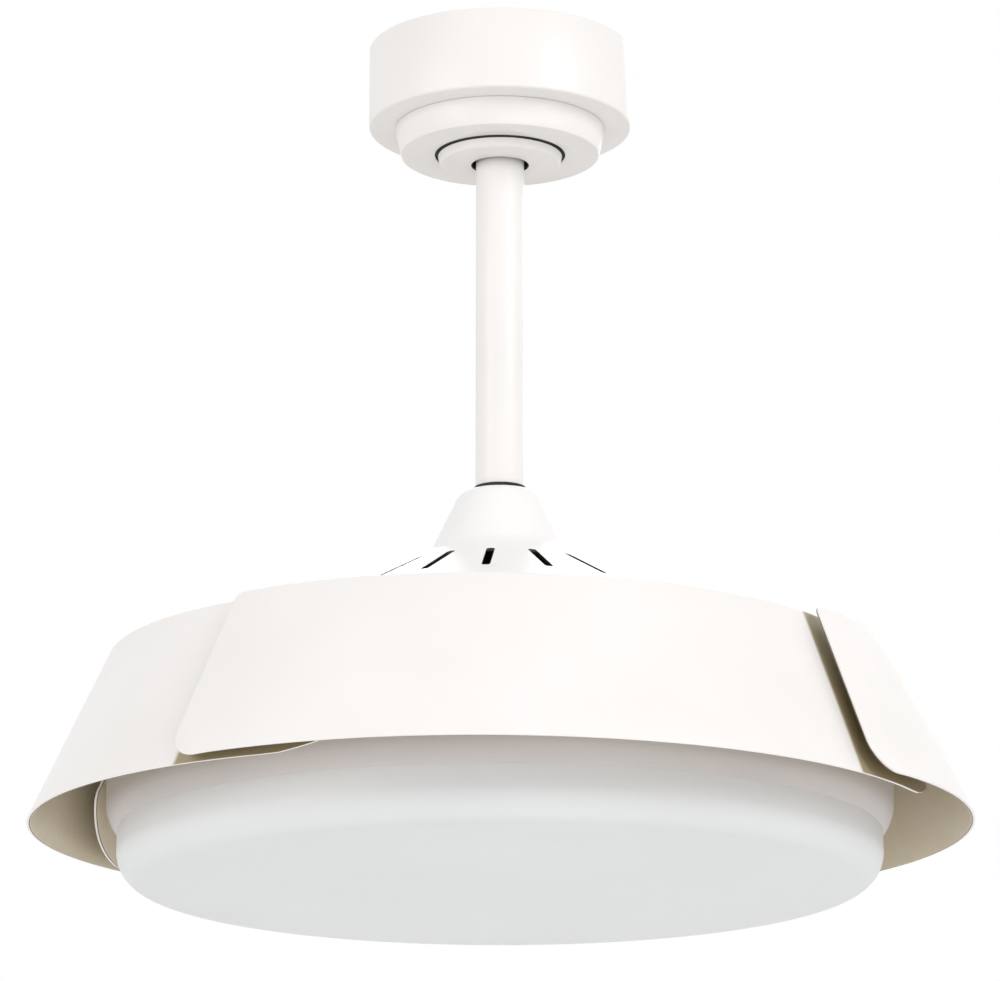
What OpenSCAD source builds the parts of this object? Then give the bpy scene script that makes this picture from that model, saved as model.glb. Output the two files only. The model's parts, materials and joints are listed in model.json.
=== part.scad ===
// Ceiling fan whose four curved blades fold in around a round lamp.
// The origin is on the ceiling, on the fan's axis. +Z points up and the front faces -Y.
// Every height below the ceiling is negative. Blade 1 turns on the +X side.

/* [Ceiling end] */
// Radius of the canopy
canopy_r = 73; // [66:1:80]
// Height of the canopy
canopy_h = 46; // [44:1:60]
// Sheet thickness of the canopy and its cover
canopy_wall = 1.2; // [0.8:0.1:1.8]
// Radius of the screw cover where it meets the canopy
cover_r_top = 58.5; // [56:0.5:62]
// Radius of the screw cover at its lower edge
cover_r_bottom = 55; // [48:0.5:56]
// Height of the screw cover
cover_h = 15.2; // [12:0.2:20]
// Radius of the ring round the downrod
ring_r = 35; // [32:0.5:40]
// How far that ring stands below the screw cover
ring_drop = 5.7; // [4:0.1:9]
// Distance between the two ceiling screws
bolt_spacing = 88.9; // [82:0.1:96]
// Radius of each ceiling screw hole
bolt_hole_r = 2.75; // [2.2:0.05:3.2]
// Radius of the hanging ball
ball_r = 22; // [20.5:0.5:23]

/* [Downrod] */
// Outer radius of the downrod
rod_r = 13.35; // [11.5:0.05:14]
// Wall of the downrod
rod_wall = 2.15; // [1.5:0.05:2.6]
// From the ceiling down to the top of the bell cover
bell_drop = 255; // [200:1:500]
// Height of the bell cover
bell_h = 69; // [66:1:90]
// Radius of the bell cover's foot
bell_foot_r = 102; // [90:1:110]
// Sheet thickness of the bell cover
bell_wall = 1.5; // [1:0.1:2.5]
// Number of air slots in the bell cover
slot_count = 16; // [8:1:20]
// Width of an air slot
slot_w = 4.6; // [3:0.1:7]

/* [Motor] */
// Radius of the motor
motor_r = 78; // [74:1:84]
// Height of the motor
motor_h = 54; // [52:1:64]
// Radius of the fixed motor shaft
shaft_r = 9; // [8:0.5:10]
// Bore radius of the shaft, for the lamp's wires
shaft_bore_r = 5.5; // [4:0.5:6]
// Number of stator teeth
stator_teeth = 12; // [9:3:18]
// Number of rotor magnets
magnet_count = 14; // [10:2:20]

/* [Blades] */
// Radius of a closed blade's lower edge, about the blade's own centre
blade_r = 240.6; // [235:0.1:250]
// How far the blade's own centre lies off the fan's axis
blade_offset = 14.2; // [10:0.1:18]
// Upright height of a blade
blade_h = 91.5; // [80:0.5:100]
// How far the blade leans in from its lower to its upper edge
blade_lean = 42.3; // [36:0.1:46]
// Sheet thickness of a blade
blade_t = 2.2; // [1.6:0.1:3]
// Angle that a blade spans about its own centre
blade_span = 125.6; // [118:0.1:130]
// Tilt of the blade, down from its tip to its tail, in degrees
blade_tilt = 0.33; // [0:0.02:0.6]
// Radius of the lower corner at the tip
tip_corner = 17; // [8:1:28]
// Radius of the upper corner at the tip
tip_top_corner = 5; // [2:0.5:10]
// How much the tip's edge is trimmed at the top
tip_slant = 4.6; // [0:0.1:12]
// Length of the curved cut-back under the tail
tail_cut_l = 87; // [60:1:100]
// Height of that cut-back
tail_cut_h = 34.5; // [26:0.5:45]
// Distance of each blade pivot from the fan's axis
pivot_dist = 180; // [176:1:184]
// Radius of a pivot pin
pin_r = 6; // [4:0.5:7]

/* [Blade gears] */
// Tooth module of the blade gears
gear_module = 2.5; // [2:0.25:3]
// Teeth on each blade gear
pinion_teeth = 16; // [14:2:20]
// Thickness of the blade gears
gear_t = 6; // [4:0.5:8]
// Play between the teeth
backlash = 0.3; // [0.1:0.05:0.6]

/* [Lamp] */
// Outer radius of the lamp's ring
lamp_r = 211.2; // [205:0.2:214]
// Height of the lamp's ring
lamp_h = 44.5; // [38:0.5:50]
// Radius of the diffuser
diffuser_r = 205.2; // [202:0.2:208]
// Depth of the diffuser below the ring
diffuser_h = 28.7; // [24:0.1:40]
// Rounding of the diffuser's lower edge
diffuser_round = 17.5; // [10:0.1:24]
// How much the diffuser's face bulges downwards
diffuser_crown = 1.5; // [0:0.1:6]
// Thickness of the lamp's sheet and of the diffuser
lamp_wall = 1.8; // [1.2:0.1:2.4]
// Light chips on each ring of the board
chips_per_ring = 16; // [8:2:24]

/* [Fits] */
// Radial clearance of turning and sliding fits
run_gap = 0.05; // [0.02:0.01:0.1]
// Gap between parts that are only laid together
seat_gap = 0.2; // [0.1:0.05:0.3]

/* [Hidden] */
$fn = 96;
big = 400;

// Ceiling end
bracket_l = 116;
bracket_w = 38;
bracket_t = 2.5;
ball_z = -26;
ball_cap = 16;
seat_t = 5;
seat_z = ball_z - 10.5;
seat_w = 44;
leg_x = 30;
tab_t = 2.5;
tab_z = seat_z - seat_t + tab_t;
tab_w = 24;
canopy_screw_x = 49;
screw_r = 2;
head_r = 4;
head_h = 2.5;
canopy_hole_r = 38;
cover_hole_r = ring_r + 1.2;
cover_z = -canopy_h - cover_h;
ring_z = cover_z - ring_drop;
ring_hole_r = rod_r + 2.35;
rod_top = -14;
hang_pin_r = 3;
receiver_size = [70, 24, 20];
block = [12, 30, 14];
block_top = -12;

// Downrod's lower end
bell_top = -bell_drop;
bell_foot = bell_top - bell_h;
coupling_r = 19.5;
coupling_top = bell_top - 8;
clevis_z = coupling_top - 8;
clevis_r = 3.5;
clevis_half = 23;
rod_bottom = clevis_z - 8;
flange_z = bell_top - 48;
flange_t = 4;
flange_r = 30;
flange_bolt_r = 24.5;
cable_r = 3.6;
cable_y = rod_r - rod_wall - cable_r - 0.2;

// Motor
motor_top = bell_foot - 6;
motor_mid = motor_top - motor_h / 2;
motor_bottom = motor_top - motor_h;
bearing_h = 8;
bearing_in_r = shaft_r + 3;
bearing_ball_r = 2.2;
bearing_mid_r = bearing_in_r + bearing_ball_r;
bearing_out_r = bearing_mid_r + bearing_ball_r + 3;
bearing_cap = 5;
bearing_z = [motor_top - bearing_cap - bearing_h, motor_bottom + bearing_cap];
stator_r = 62;
stator_h = 22;
magnet_t = 5;
air_gap = 1;
rotor_flange_r = motor_r + 14;
rotor_bolt_r = motor_r - 5;
hub_bolt_r = motor_r + 8;
hub_bolts = 8;

// Blade carrier
plate_t = 3;
hub_bottom = motor_mid + plate_t;
hub_z = hub_bottom + plate_t;
hub_r = pivot_dist + 9.5;
collar_r = rotor_flange_r + 8;
gear_top = hub_bottom - 1;
gear_bottom = gear_top - gear_t;
arm_t = 4;
arm_in_r = pivot_dist - 9;
stop_r = 3;
arm_boss_h = 6;
arm_boss_r = 13;
spring_gap = 0.8;
spring_room = 10.2;
arm_bottom = gear_bottom - arm_boss_h;
lower_z = arm_bottom - spring_gap - spring_room;
lower_t = 2.5;
lower_r = pivot_dist + 14;
lower_in_r = collar_r - 4;
clip_t = 1.2;
clip_z = lower_z - lower_t - 1.1 - clip_t;
pin_end = clip_z - 2;
post_r = 5;
post_angle = 24;
post_dist = pivot_dist + 4;

// Lightening holes in the plates and the ring
window_dist = 132;
window_r = 17;

// Gears: the ring lies inside the four blade gears
pressure = 25;
ring_teeth = 4 * round((2 * pivot_dist / gear_module - pinion_teeth) / 4);
tooth_module = 2 * pivot_dist / (ring_teeth + pinion_teeth);
pinion_pitch = tooth_module * pinion_teeth / 2;
ring_pitch = tooth_module * ring_teeth / 2;
ring_t = gear_t - 1;
ring_top = gear_top - 0.5;
tooth_first = -2;
tooth_last = 7;

// Return springs
spring_wire = 1.2;
spring_r = 9;
spring_turns = 3.5;
spring_sides = 6;
spring_steps = 8;
spring_rise = spring_room - spring_wire - 0.8;
groove_half = 1.4;
groove_depth = 2;

// Blades
lean_angle = atan(blade_lean / blade_h);
slope_l = norm([blade_h, blade_lean]);
blade_rise = 3.6;
blade_bottom = hub_bottom + blade_rise - blade_h;
offset_angle = -109.7;
tail_angle = -6.6;
tip_angle = tail_angle - blade_span;
flange_span = 20;
flange_back = 7;
flange_start = tail_angle - flange_back - flange_span;
flange_h = 34;
flange_top = blade_h - 8;
flange_sheet = 2;
rivet_r = 2;
rivet_down = 27;

// Lamp
lamp_top = motor_bottom - 17;
lamp_bottom = lamp_top - lamp_h;
lamp_straight = lamp_bottom + 15;
mount_plate_z = lamp_top + 7;
mount_plate_t = 3;
mount_plate_r = 62;
light_bolt_r = 50;
pan_hole_r = 26;
nut_r = 15;
nut_h = 4;
shaft_end = mount_plate_z - mount_plate_t - nut_h;
board_t = 1.6;
board_r = 184;
board_hole_r = 60;
chip_ring_r = 90;
chip_ring_step = 38;
board_z = lamp_top - lamp_wall;
chip = 5;
chip_t = 0.8;
driver = [76, 40, 18];
diffuser_top = lamp_bottom - 0.3;
diffuser_bottom = lamp_bottom - diffuser_h;
neck_r = diffuser_r - lamp_wall - 0.8;
neck_h = 9;
lug_angle = 6;
ledge_angle = 14;
lug_t = 2;
lug_z = lamp_bottom + 6.5;

// Points on an arc, corner or curve
function arc(cx, cy, r, a, b, n) =
    [for (i = [0:n]) let (t = a + (b - a) * i / n) [cx + r * cos(t), cy + r * sin(t)]];
function bend(p, q, s, n) =
    [for (i = [0:n]) let (t = i / n) (1 - t) * (1 - t) * p + 2 * t * (1 - t) * q + t * t * s];
function reversed(list) = [for (i = [len(list) - 1:-1:0]) list[i]];

module tube(r, bore, h) {
    difference() {
        cylinder(r = r, h = h);
        translate([0, 0, -1])
            cylinder(r = bore, h = h + 2);
    }
}

module polar(count, first = 0) {
    for (i = [0:count - 1])
        rotate(first + i * 360 / count)
            children();
}

// ---------------------------------------------------------------- ceiling end

module mounting_bracket() {
    gate = rod_r + 1.6;
    color("#b9bcc0")
    difference() {
        union() {
            translate([-bracket_l / 2, -bracket_w / 2, -bracket_t])
                cube([bracket_l, bracket_w, bracket_t]);
            for (side = [-1, 1])
                translate([side * (leg_x + bracket_t / 2) - bracket_t / 2, -bracket_w / 2, seat_z - 1])
                    cube([bracket_t, bracket_w, -seat_z]);
            translate([-leg_x - bracket_t, -seat_w / 2, seat_z - seat_t])
                cube([2 * (leg_x + bracket_t), seat_w, seat_t]);
            translate([-canopy_screw_x - 7, -tab_w / 2, tab_z - tab_t])
                cube([2 * (canopy_screw_x + 7), tab_w, tab_t]);
        }
        for (x = [-1, 1]) {
            translate([x * bolt_spacing / 2, 0, -bracket_t - 1])
                cylinder(r = bolt_hole_r, h = bracket_t + 2);
            translate([x * canopy_screw_x, 0, tab_z - tab_t - 1])
                cylinder(r = screw_r + run_gap, h = tab_t + 2);
        }
        // The ball's seat, and the gate that the rod goes in by
        translate([0, 0, ball_z])
            sphere(r = ball_r + run_gap);
        translate([0, 0, ball_z - seat_w / 2])
            cylinder(r = gate, h = seat_w / 2);
        translate([-gate, -seat_w, seat_z - seat_t - 1])
            cube([2 * gate, seat_w, seat_t + 2]);
    }
}

module canopy() {
    r = canopy_r;
    w = canopy_wall;
    corner = w + 0.4;
    color("#efe9e4")
    difference() {
        rotate_extrude()
            polygon(concat(
                [[r, -0.3]],
                arc(r - corner, -canopy_h + corner, corner, 0, -90, 6),
                [[canopy_hole_r, -canopy_h], [canopy_hole_r, -canopy_h + w]],
                arc(r - corner, -canopy_h + corner, corner - w, -90, 0, 6),
                [[r - w, -0.3]]));
        for (x = [-1, 1])
            translate([x * canopy_screw_x, 0, -canopy_h - 1])
                cylinder(r = screw_r + 0.4, h = w + 2);
    }
}

module canopy_screws() {
    color("#d8d8d6")
    for (x = [-1, 1])
        translate([x * canopy_screw_x, 0, -canopy_h - head_h]) {
            cylinder(r = head_r, h = head_h);
            cylinder(r = screw_r, h = head_h + canopy_h + tab_z + 2);
        }
}

module canopy_screw_cover() {
    w = canopy_wall;
    color("#efe9e4")
    rotate_extrude()
        polygon([[cover_r_top, -canopy_h - seat_gap / 2], [cover_r_bottom, cover_z],
            [cover_hole_r, cover_z], [cover_hole_r, cover_z + w],
            [cover_r_bottom - w, cover_z + w], [cover_r_top - w, -canopy_h - seat_gap / 2]]);
}

module canopy_ring() {
    lip_r = cover_hole_r + 4;
    lip_z = cover_z + canopy_wall + seat_gap / 2;
    round_r = 1.3;
    color("#efe9e4")
    rotate_extrude()
        polygon(concat(
            [[ring_hole_r, lip_z + 1.5], [ring_hole_r, ring_z]],
            arc(ring_r - 1.3 - round_r, ring_z + round_r, round_r, -90, 0, 4),
            [[ring_r, lip_z], [lip_r, lip_z], [lip_r, lip_z + 1.5]]));
}

module receiver() {
    color("#f2f2f0")
    translate([-receiver_size[0] / 2, seat_w / 2 + 4, -canopy_h + canopy_wall + seat_gap])
        cube(receiver_size);
}

module terminal_block() {
    color("#e8e4d8")
    difference() {
        translate([leg_x + bracket_t, -block[1] / 2, block_top - block[2]])
            cube(block);
        for (y = [-1, 0, 1])
            translate([leg_x + bracket_t + block[0] / 2, y * block[1] / 3, block_top - 1])
                cylinder(r = 2.2, h = 2);
    }
}

// -------------------------------------------------------------------- downrod

module hanger_ball() {
    color("#3a3a3c")
    difference() {
        translate([0, 0, ball_z])
            intersection() {
                sphere(r = ball_r);
                translate([0, 0, -ball_cap])
                    cylinder(r = ball_r + 1, h = 2 * ball_cap);
            }
        translate([0, 0, ball_z - ball_r])
            cylinder(r = rod_r + run_gap, h = 2 * ball_r);
        translate([-ball_r, 0, ball_z])
            rotate([0, 90, 0])
                cylinder(r = hang_pin_r + run_gap, h = 2 * ball_r);
        translate([0, 0, ball_z])
            rotate([-90, 0, 0])
                cylinder(r = screw_r + run_gap, h = ball_r);
    }
}

// The pin that hangs the rod in its ball, and the one that joins it to the motor
module rod_pins() {
    ball_half = ball_r - 2;
    color("#c4c6c8")
    for (pin = [[ball_z, hang_pin_r, ball_half], [clevis_z, clevis_r, clevis_half]])
        translate([-pin[2], 0, pin[0]])
            rotate([0, 90, 0])
                cylinder(r = pin[1], h = 2 * pin[2]);
}

// Set screws that grip the rod: one in the ball, two in the motor coupling
module set_screws() {
    reach = [ball_r - rod_r - 1, coupling_r - rod_r + 0.6];
    color("#c4c6c8")
    for (place = [[ball_z, -90, reach[0]], [clevis_z, -90, reach[1]], [clevis_z, 90, reach[1]]])
        translate([0, 0, place[0]])
            rotate([place[1], 0, 0])
                translate([0, 0, rod_r + 0.1])
                    cylinder(r = screw_r, h = place[2]);
}

module downrod() {
    color("#efe9e4")
    difference() {
        translate([0, 0, rod_bottom])
            tube(rod_r, rod_r - rod_wall, rod_top - rod_bottom);
        for (hole = [[ball_z, hang_pin_r], [clevis_z, clevis_r]])
            translate([-rod_r - 1, 0, hole[0]])
                rotate([0, 90, 0])
                    cylinder(r = hole[1] + run_gap, h = 2 * rod_r + 2);
    }
}

module supply_cable() {
    color("#2b2b2d")
    translate([0, cable_y, flange_z - 1])
        cylinder(r = cable_r, h = -8 - flange_z + 1);
}

module motor_coupling() {
    bore = rod_r - rod_wall;
    color("#a9acb0")
    difference() {
        union() {
            translate([0, 0, flange_z])
                cylinder(r = coupling_r, h = coupling_top - flange_z);
            translate([0, 0, flange_z - flange_t])
                cylinder(r = flange_r, h = flange_t);
        }
        translate([0, 0, rod_bottom - seat_gap])
            cylinder(r = rod_r + run_gap, h = big);
        translate([0, 0, flange_z - flange_t - 1])
            cylinder(r = bore, h = big);
        translate([-coupling_r - 1, 0, clevis_z])
            rotate([0, 90, 0])
                cylinder(r = clevis_r + run_gap, h = 2 * coupling_r + 2);
        for (side = [-1, 1])
            translate([0, 0, clevis_z])
                rotate([side * 90, 0, 0])
                    cylinder(r = screw_r + run_gap, h = coupling_r + 1);
        flange_bolts(run_gap);
    }
}

module flange_bolts(gap) {
    polar(4, 45)
        translate([flange_bolt_r, 0, flange_z - 2 * flange_t - 1])
            cylinder(r = screw_r + gap, h = 2 * flange_t + 2);
}

module clevis_clips() {
    color("#c4c6c8")
    for (side = [-1, 1])
        translate([side * (coupling_r + 1.2), 0, clevis_z])
            rotate([0, 90, 0])
                rotate_extrude()
                    translate([clevis_r + run_gap + 0.7, 0])
                        circle(r = 0.7, $fn = 24);
}

// Four screws join the flanges, three hold the lamp to its plate
module pan_screws() {
    color("#c4c6c8") {
        polar(4, 45)
            translate([flange_bolt_r, 0, flange_z - 2 * flange_t]) {
                cylinder(r = screw_r, h = 2 * flange_t);
                translate([0, 0, 2 * flange_t])
                    cylinder(r = head_r, h = head_h);
            }
        polar(3, 90)
            translate([light_bolt_r, 0, lamp_top - lamp_wall - head_h]) {
                cylinder(r = head_r, h = head_h);
                cylinder(r = screw_r, h = head_h + lamp_wall + mount_plate_z - lamp_top);
            }
    }
}

// Side of the bell, in by a wall: a rounded shoulder, a flank, a waist and a flare
function bell_side(w) = let (top = rod_r + 3.65) concat(
    bend([top, -w], [top + 4.6 - w, -0.2 - w], [top + 6.9 - w, -5], 8),
    bend([36.5 - w, -31 - 0.3 * w], [39 - w, -35.8 - 0.6 * w], [48 - 0.5 * w, -40.5 - 0.9 * w], 10),
    [[bell_foot_r - 1.9 * w, -bell_h]]);

module coupling_cover() {
    hole = rod_r + 1.3;
    slot_from = 55.5;
    slot_l = 31.5;
    corner = 1.6;
    side = slot_w / 2 - corner;
    color("#f4efea")
    difference() {
        translate([0, 0, bell_top])
            rotate_extrude()
                polygon(concat([[hole, 0]], bell_side(0), reversed(bell_side(bell_wall)),
                    [[hole, -bell_wall]]));
        polar(slot_count, 265)
            translate([slot_from, 0, bell_foot])
                linear_extrude(bell_h - 32)
                    polygon(concat(
                        arc(slot_l - corner, side, corner, 0, 90, 4),
                        arc(corner, side, corner, 90, 180, 4),
                        arc(corner, -side, corner, 180, 270, 4),
                        arc(slot_l - corner, -side, corner, 270, 360, 4)));
    }
}

module cover_grommet() {
    color("#18181a")
    translate([0, 0, bell_top - bell_wall - 0.4])
        difference() {
            union() {
                cylinder(r = rod_r + 1.2, h = bell_wall + 0.4);
                cylinder(r = rod_r + 0.9, h = bell_wall + 3.2);
            }
            translate([0, 0, -1])
                cylinder(r = rod_r + run_gap, h = 10);
        }
}

// ---------------------------------------------------------------------- motor

module motor_shaft() {
    top = flange_z - flange_t;
    color("#b4b7ba")
    difference() {
        union() {
            translate([0, 0, shaft_end])
                cylinder(r = shaft_r, h = top - shaft_end);
            translate([0, 0, top - flange_t])
                cylinder(r = flange_r, h = flange_t);
        }
        translate([0, 0, shaft_end - 1])
            cylinder(r = shaft_bore_r, h = big);
        flange_bolts(run_gap);
    }
}

module stator_core() {
    tooth_w = 9;
    shoe = 300 / stator_teeth;
    color("#6f7276")
    translate([0, 0, motor_mid - stator_h / 2])
        difference() {
            union() {
                cylinder(r = 26, h = stator_h);
                polar(stator_teeth) {
                    translate([20, -tooth_w / 2, 0])
                        cube([stator_r - 22, tooth_w, stator_h]);
                    rotate([0, 0, -shoe / 2])
                        rotate_extrude(angle = shoe)
                            translate([stator_r - 4, 0])
                                square([4, stator_h]);
                }
            }
            translate([0, 0, -1])
                cylinder(r = shaft_r + run_gap, h = stator_h + 2);
        }
}

// Each winding is a square ring round its tooth
module stator_coils() {
    tooth_w = 9.4;
    wind = 2.4;
    length = 24;
    color("#b5703a")
    polar(stator_teeth)
        translate([29, 0, motor_mid])
            difference() {
                translate([0, -tooth_w / 2 - wind, -stator_h / 2 - wind])
                    cube([length, tooth_w + 2 * wind, stator_h + 2 * wind]);
                translate([-1, -tooth_w / 2, -stator_h / 2 - 0.2])
                    cube([length + 2, tooth_w, stator_h + 0.4]);
            }
}

module bearing_ring(outer, inner) {
    for (z = bearing_z)
        translate([0, 0, z])
            difference() {
                tube(outer, inner, bearing_h);
                translate([0, 0, bearing_h / 2])
                    rotate_extrude()
                        translate([bearing_mid_r, 0])
                            circle(r = bearing_ball_r + run_gap, $fn = 32);
            }
}

module bearing_inner_rings() {
    color("#c9ccd0")
    bearing_ring(bearing_mid_r - 1, shaft_r + run_gap);
}

module bearing_outer_rings() {
    color("#c9ccd0")
    bearing_ring(bearing_out_r, bearing_mid_r + 1);
}

module bearing_balls() {
    color("#dfe2e5")
    for (z = bearing_z)
        polar(7)
            translate([bearing_mid_r, 0, z + bearing_h / 2])
                sphere(r = bearing_ball_r, $fn = 24);
}

// Half of the motor's casing, drawn with its open side down
module rotor_shell() {
    height = motor_h / 2;
    cap = 4;
    color("#8d9094")
    difference() {
        union() {
            difference() {
                cylinder(r = motor_r, h = height);
                translate([0, 0, -cap])
                    cylinder(r = stator_r + air_gap + magnet_t + run_gap, h = height);
            }
            translate([0, 0, height - bearing_cap - bearing_h])
                cylinder(r = bearing_out_r + 3, h = bearing_h + 1);
        }
        translate([0, 0, -1])
            cylinder(r = bearing_out_r + run_gap, h = height + 1 - bearing_cap);
        translate([0, 0, -1])
            cylinder(r = bearing_mid_r + 1, h = height + 2);
        polar(6)
            translate([rotor_bolt_r, 0, -1])
                cylinder(r = screw_r + run_gap, h = height + 2);
    }
}

module rotor_top_shell() {
    color("#8d9094")
    union() {
        translate([0, 0, motor_mid])
            rotor_shell();
        // Flange that the hub plate is bolted to
        translate([0, 0, hub_bottom - plate_t])
            difference() {
                tube(rotor_flange_r, motor_r - 1, plate_t);
                polar(hub_bolts, 22.5)
                    translate([hub_bolt_r, 0, -1])
                        cylinder(r = screw_r + run_gap, h = plate_t + 2);
            }
    }
}

module rotor_bottom_shell() {
    translate([0, 0, motor_mid])
        rotate([180, 0, 0])
            rotor_shell();
}

module rotor_magnets() {
    inner = stator_r + air_gap;
    arc_angle = 360 / magnet_count - 3;
    color("#4a4c50")
    polar(magnet_count)
        translate([0, 0, motor_mid - stator_h / 2])
            rotate_extrude(angle = arc_angle)
                translate([inner, 0])
                    square([magnet_t, stator_h]);
}

// Six through bolts of the motor and the bolts of the hub plate
module rotor_screws() {
    color("#c4c6c8") {
        polar(6)
            translate([rotor_bolt_r, 0, motor_bottom - head_h]) {
                cylinder(r = head_r, h = head_h);
                cylinder(r = screw_r, h = motor_h + head_h);
            }
        polar(hub_bolts, 22.5)
            translate([hub_bolt_r, 0, hub_bottom - plate_t]) {
                cylinder(r = screw_r, h = 2 * plate_t);
                translate([0, 0, 2 * plate_t])
                    cylinder(r = head_r, h = head_h - 0.5);
            }
    }
}

// -------------------------------------------------------------- blade carrier

module hub_plate() {
    color("#a3a6aa")
    difference() {
        union() {
            translate([0, 0, hub_bottom])
                tube(hub_r, motor_r + run_gap, plate_t);
            translate([0, 0, ring_top - ring_t - 0.5])
                tube(collar_r, collar_r - 4, hub_bottom - ring_top + ring_t + 0.5);
        }
        polar(4)
            translate([pivot_dist, 0, hub_bottom - 1])
                cylinder(r = pin_r + run_gap, h = plate_t + 2);
        polar(4, post_angle)
            translate([post_dist, 0, hub_bottom - 1])
                cylinder(r = screw_r + run_gap, h = plate_t + 2);
        polar(hub_bolts, 22.5)
            translate([hub_bolt_r, 0, hub_bottom - 1])
                cylinder(r = screw_r + run_gap, h = plate_t + 2);
        polar(12, 15)
            translate([window_dist, 0, hub_bottom - 1])
                cylinder(r = window_r, h = plate_t + 2);
    }
}

// White dome over the hub plate, hidden by the blades from below
module hub_cover() {
    w = 1.8;
    rise = 19;
    edge = 4;
    inner_r = hub_bolt_r + head_r + 1.5;
    rim_r = hub_r + 0.2 + w;
    mid = [150, 16];
    color("#f4efea")
    translate([0, 0, hub_z])
        rotate_extrude()
            polygon(concat(
                bend([inner_r, rise], mid, [rim_r - edge, edge], 12),
                arc(rim_r - edge, 0, edge, 80, 0, 5),
                [[rim_r, -plate_t], [rim_r - w, -plate_t]],
                arc(rim_r - edge, 0, edge - w, 0, 80, 5),
                bend([rim_r - edge, edge - w], mid - [0, w], [inner_r + w, rise - w], 12),
                [[inner_r + w, 0], [inner_r, 0]]));
}

module lower_plate() {
    color("#a3a6aa")
    difference() {
        translate([0, 0, lower_z - lower_t])
            tube(lower_r, lower_in_r, lower_t);
        polar(4)
            translate([pivot_dist, 0, lower_z - lower_t - 1])
                cylinder(r = pin_r + run_gap, h = lower_t + 2);
        polar(4)
            translate([pivot_dist - spring_r, 0, lower_z - lower_t - 1])
                cylinder(r = spring_wire / 2 + 0.1, h = lower_t + 2);
        polar(4, post_angle)
            translate([post_dist, 0, lower_z - lower_t - 1])
                cylinder(r = screw_r + run_gap, h = lower_t + 2);
        polar(16)
            translate([window_dist + 3, 0, lower_z - lower_t - 1])
                cylinder(r = window_r, h = lower_t + 2);
    }
}

// Spacers that join the two plates, each with a rivet end through both
module plate_posts() {
    color("#c4c6c8")
    polar(4, post_angle)
        translate([post_dist, 0, lower_z]) {
            cylinder(r = post_r, h = hub_bottom - lower_z);
            translate([0, 0, -lower_t - 1])
                cylinder(r = screw_r, h = hub_z - lower_z + lower_t + 1.6);
        }
}

module pivot_pins() {
    color("#d4d7da")
    polar(4)
        translate([pivot_dist, 0, pin_end])
            difference() {
                union() {
                    cylinder(r = pin_r, h = hub_z - pin_end);
                    translate([0, 0, hub_z - pin_end])
                        cylinder(r = pin_r + 2, h = 1.5);
                }
                translate([0, 0, clip_z - pin_end - 0.05])
                    tube(pin_r + 1, pin_r - 1, clip_t + 0.1);
            }
}

module pivot_clips() {
    color("#56585c")
    polar(4)
        translate([pivot_dist, 0, clip_z])
            difference() {
                tube(pin_r + 2.6, pin_r - 1 + run_gap, clip_t);
                translate([0, -2.5, -1])
                    cube([20, 5, clip_t + 2]);
            }
}

// One spring is one tube: a ring of points at each step along its helix
function spring_path() =
    let (count = spring_turns * spring_steps)
    concat(
        [[-spring_r, 0, -lower_t + 0.3], [-spring_r, 0, -0.6]],
        [for (i = [0:count]) let (a = 180 + i * 360 / spring_steps)
            [spring_r * cos(a), spring_r * sin(a), 1.2 + spring_rise * i / count]],
        [[spring_r, 0, spring_room + 0.2], [spring_r, 0, spring_room + spring_gap + groove_depth - 0.4]]);

function step_dir(path, i) =
    let (a = path[max(i - 1, 0)], b = path[min(i + 1, len(path) - 1)]) (b - a) / norm(b - a);

function ring_at(p, dir, turn) =
    let (
        side = cross(dir, turn) / norm(cross(dir, turn)),
        up = cross(side, dir))
    [for (k = [0:spring_sides - 1]) let (a = k * 360 / spring_sides)
        p + spring_wire / 2 * (cos(a) * side + sin(a) * up)];

module swept(path) {
    n = spring_sides;
    last = len(path) - 1;
    rings = [for (i = [0:last]) ring_at(path[i], step_dir(path, i), [path[i][0], path[i][1], 0])];
    points = [for (r = rings) for (p = r) p];
    sides = [for (i = [0:last - 1]) for (k = [0:n - 1]) let (a = i * n + k, b = i * n + (k + 1) % n)
        for (tri = [[a, b, a + n], [b, b + n, a + n]]) tri];
    first_cap = [for (k = [1:n - 2]) [0, k + 1, k]];
    last_cap = [for (k = [1:n - 2]) [last * n, last * n + k, last * n + k + 1]];
    polyhedron(points, concat(sides, first_cap, last_cap));
}

module return_springs() {
    echo(spring_least_gap = spring_rise / spring_turns - spring_wire);
    color("#8f9296")
    polar(4)
        translate([pivot_dist, 0, lower_z])
            swept(spring_path());
}

module ring_retainer() {
    color("#c4c6c8")
    translate([0, 0, ring_top - ring_t - 0.5 - 1.2])
        tube(collar_r + 5, collar_r - 4, 1.2);
}

// Rubber bumpers that the arms rest against when the blades are folded in
module blade_stops() {
    color("#1e1e20")
    polar(4, -25)
        translate([arm_in_r - 0.3 - stop_r, 0, gear_bottom - arm_t])
            cylinder(r = stop_r, h = hub_bottom - gear_bottom + arm_t);
}

// ---------------------------------------------------------------------- gears

function involute_turn(base, r) = let (p = acos(min(1, base / r))) tan(p) * 180 / PI - p;

function tooth_side(teeth, r, sign) =
    let (
        pitch = tooth_module * teeth / 2,
        base = pitch * cos(pressure),
        half = 90 / teeth - backlash / 4 / pitch * 180 / PI,
        a = half + involute_turn(base, pitch) - involute_turn(base, max(r, base)))
    r * [cos(sign * a), sin(sign * a)];

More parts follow.
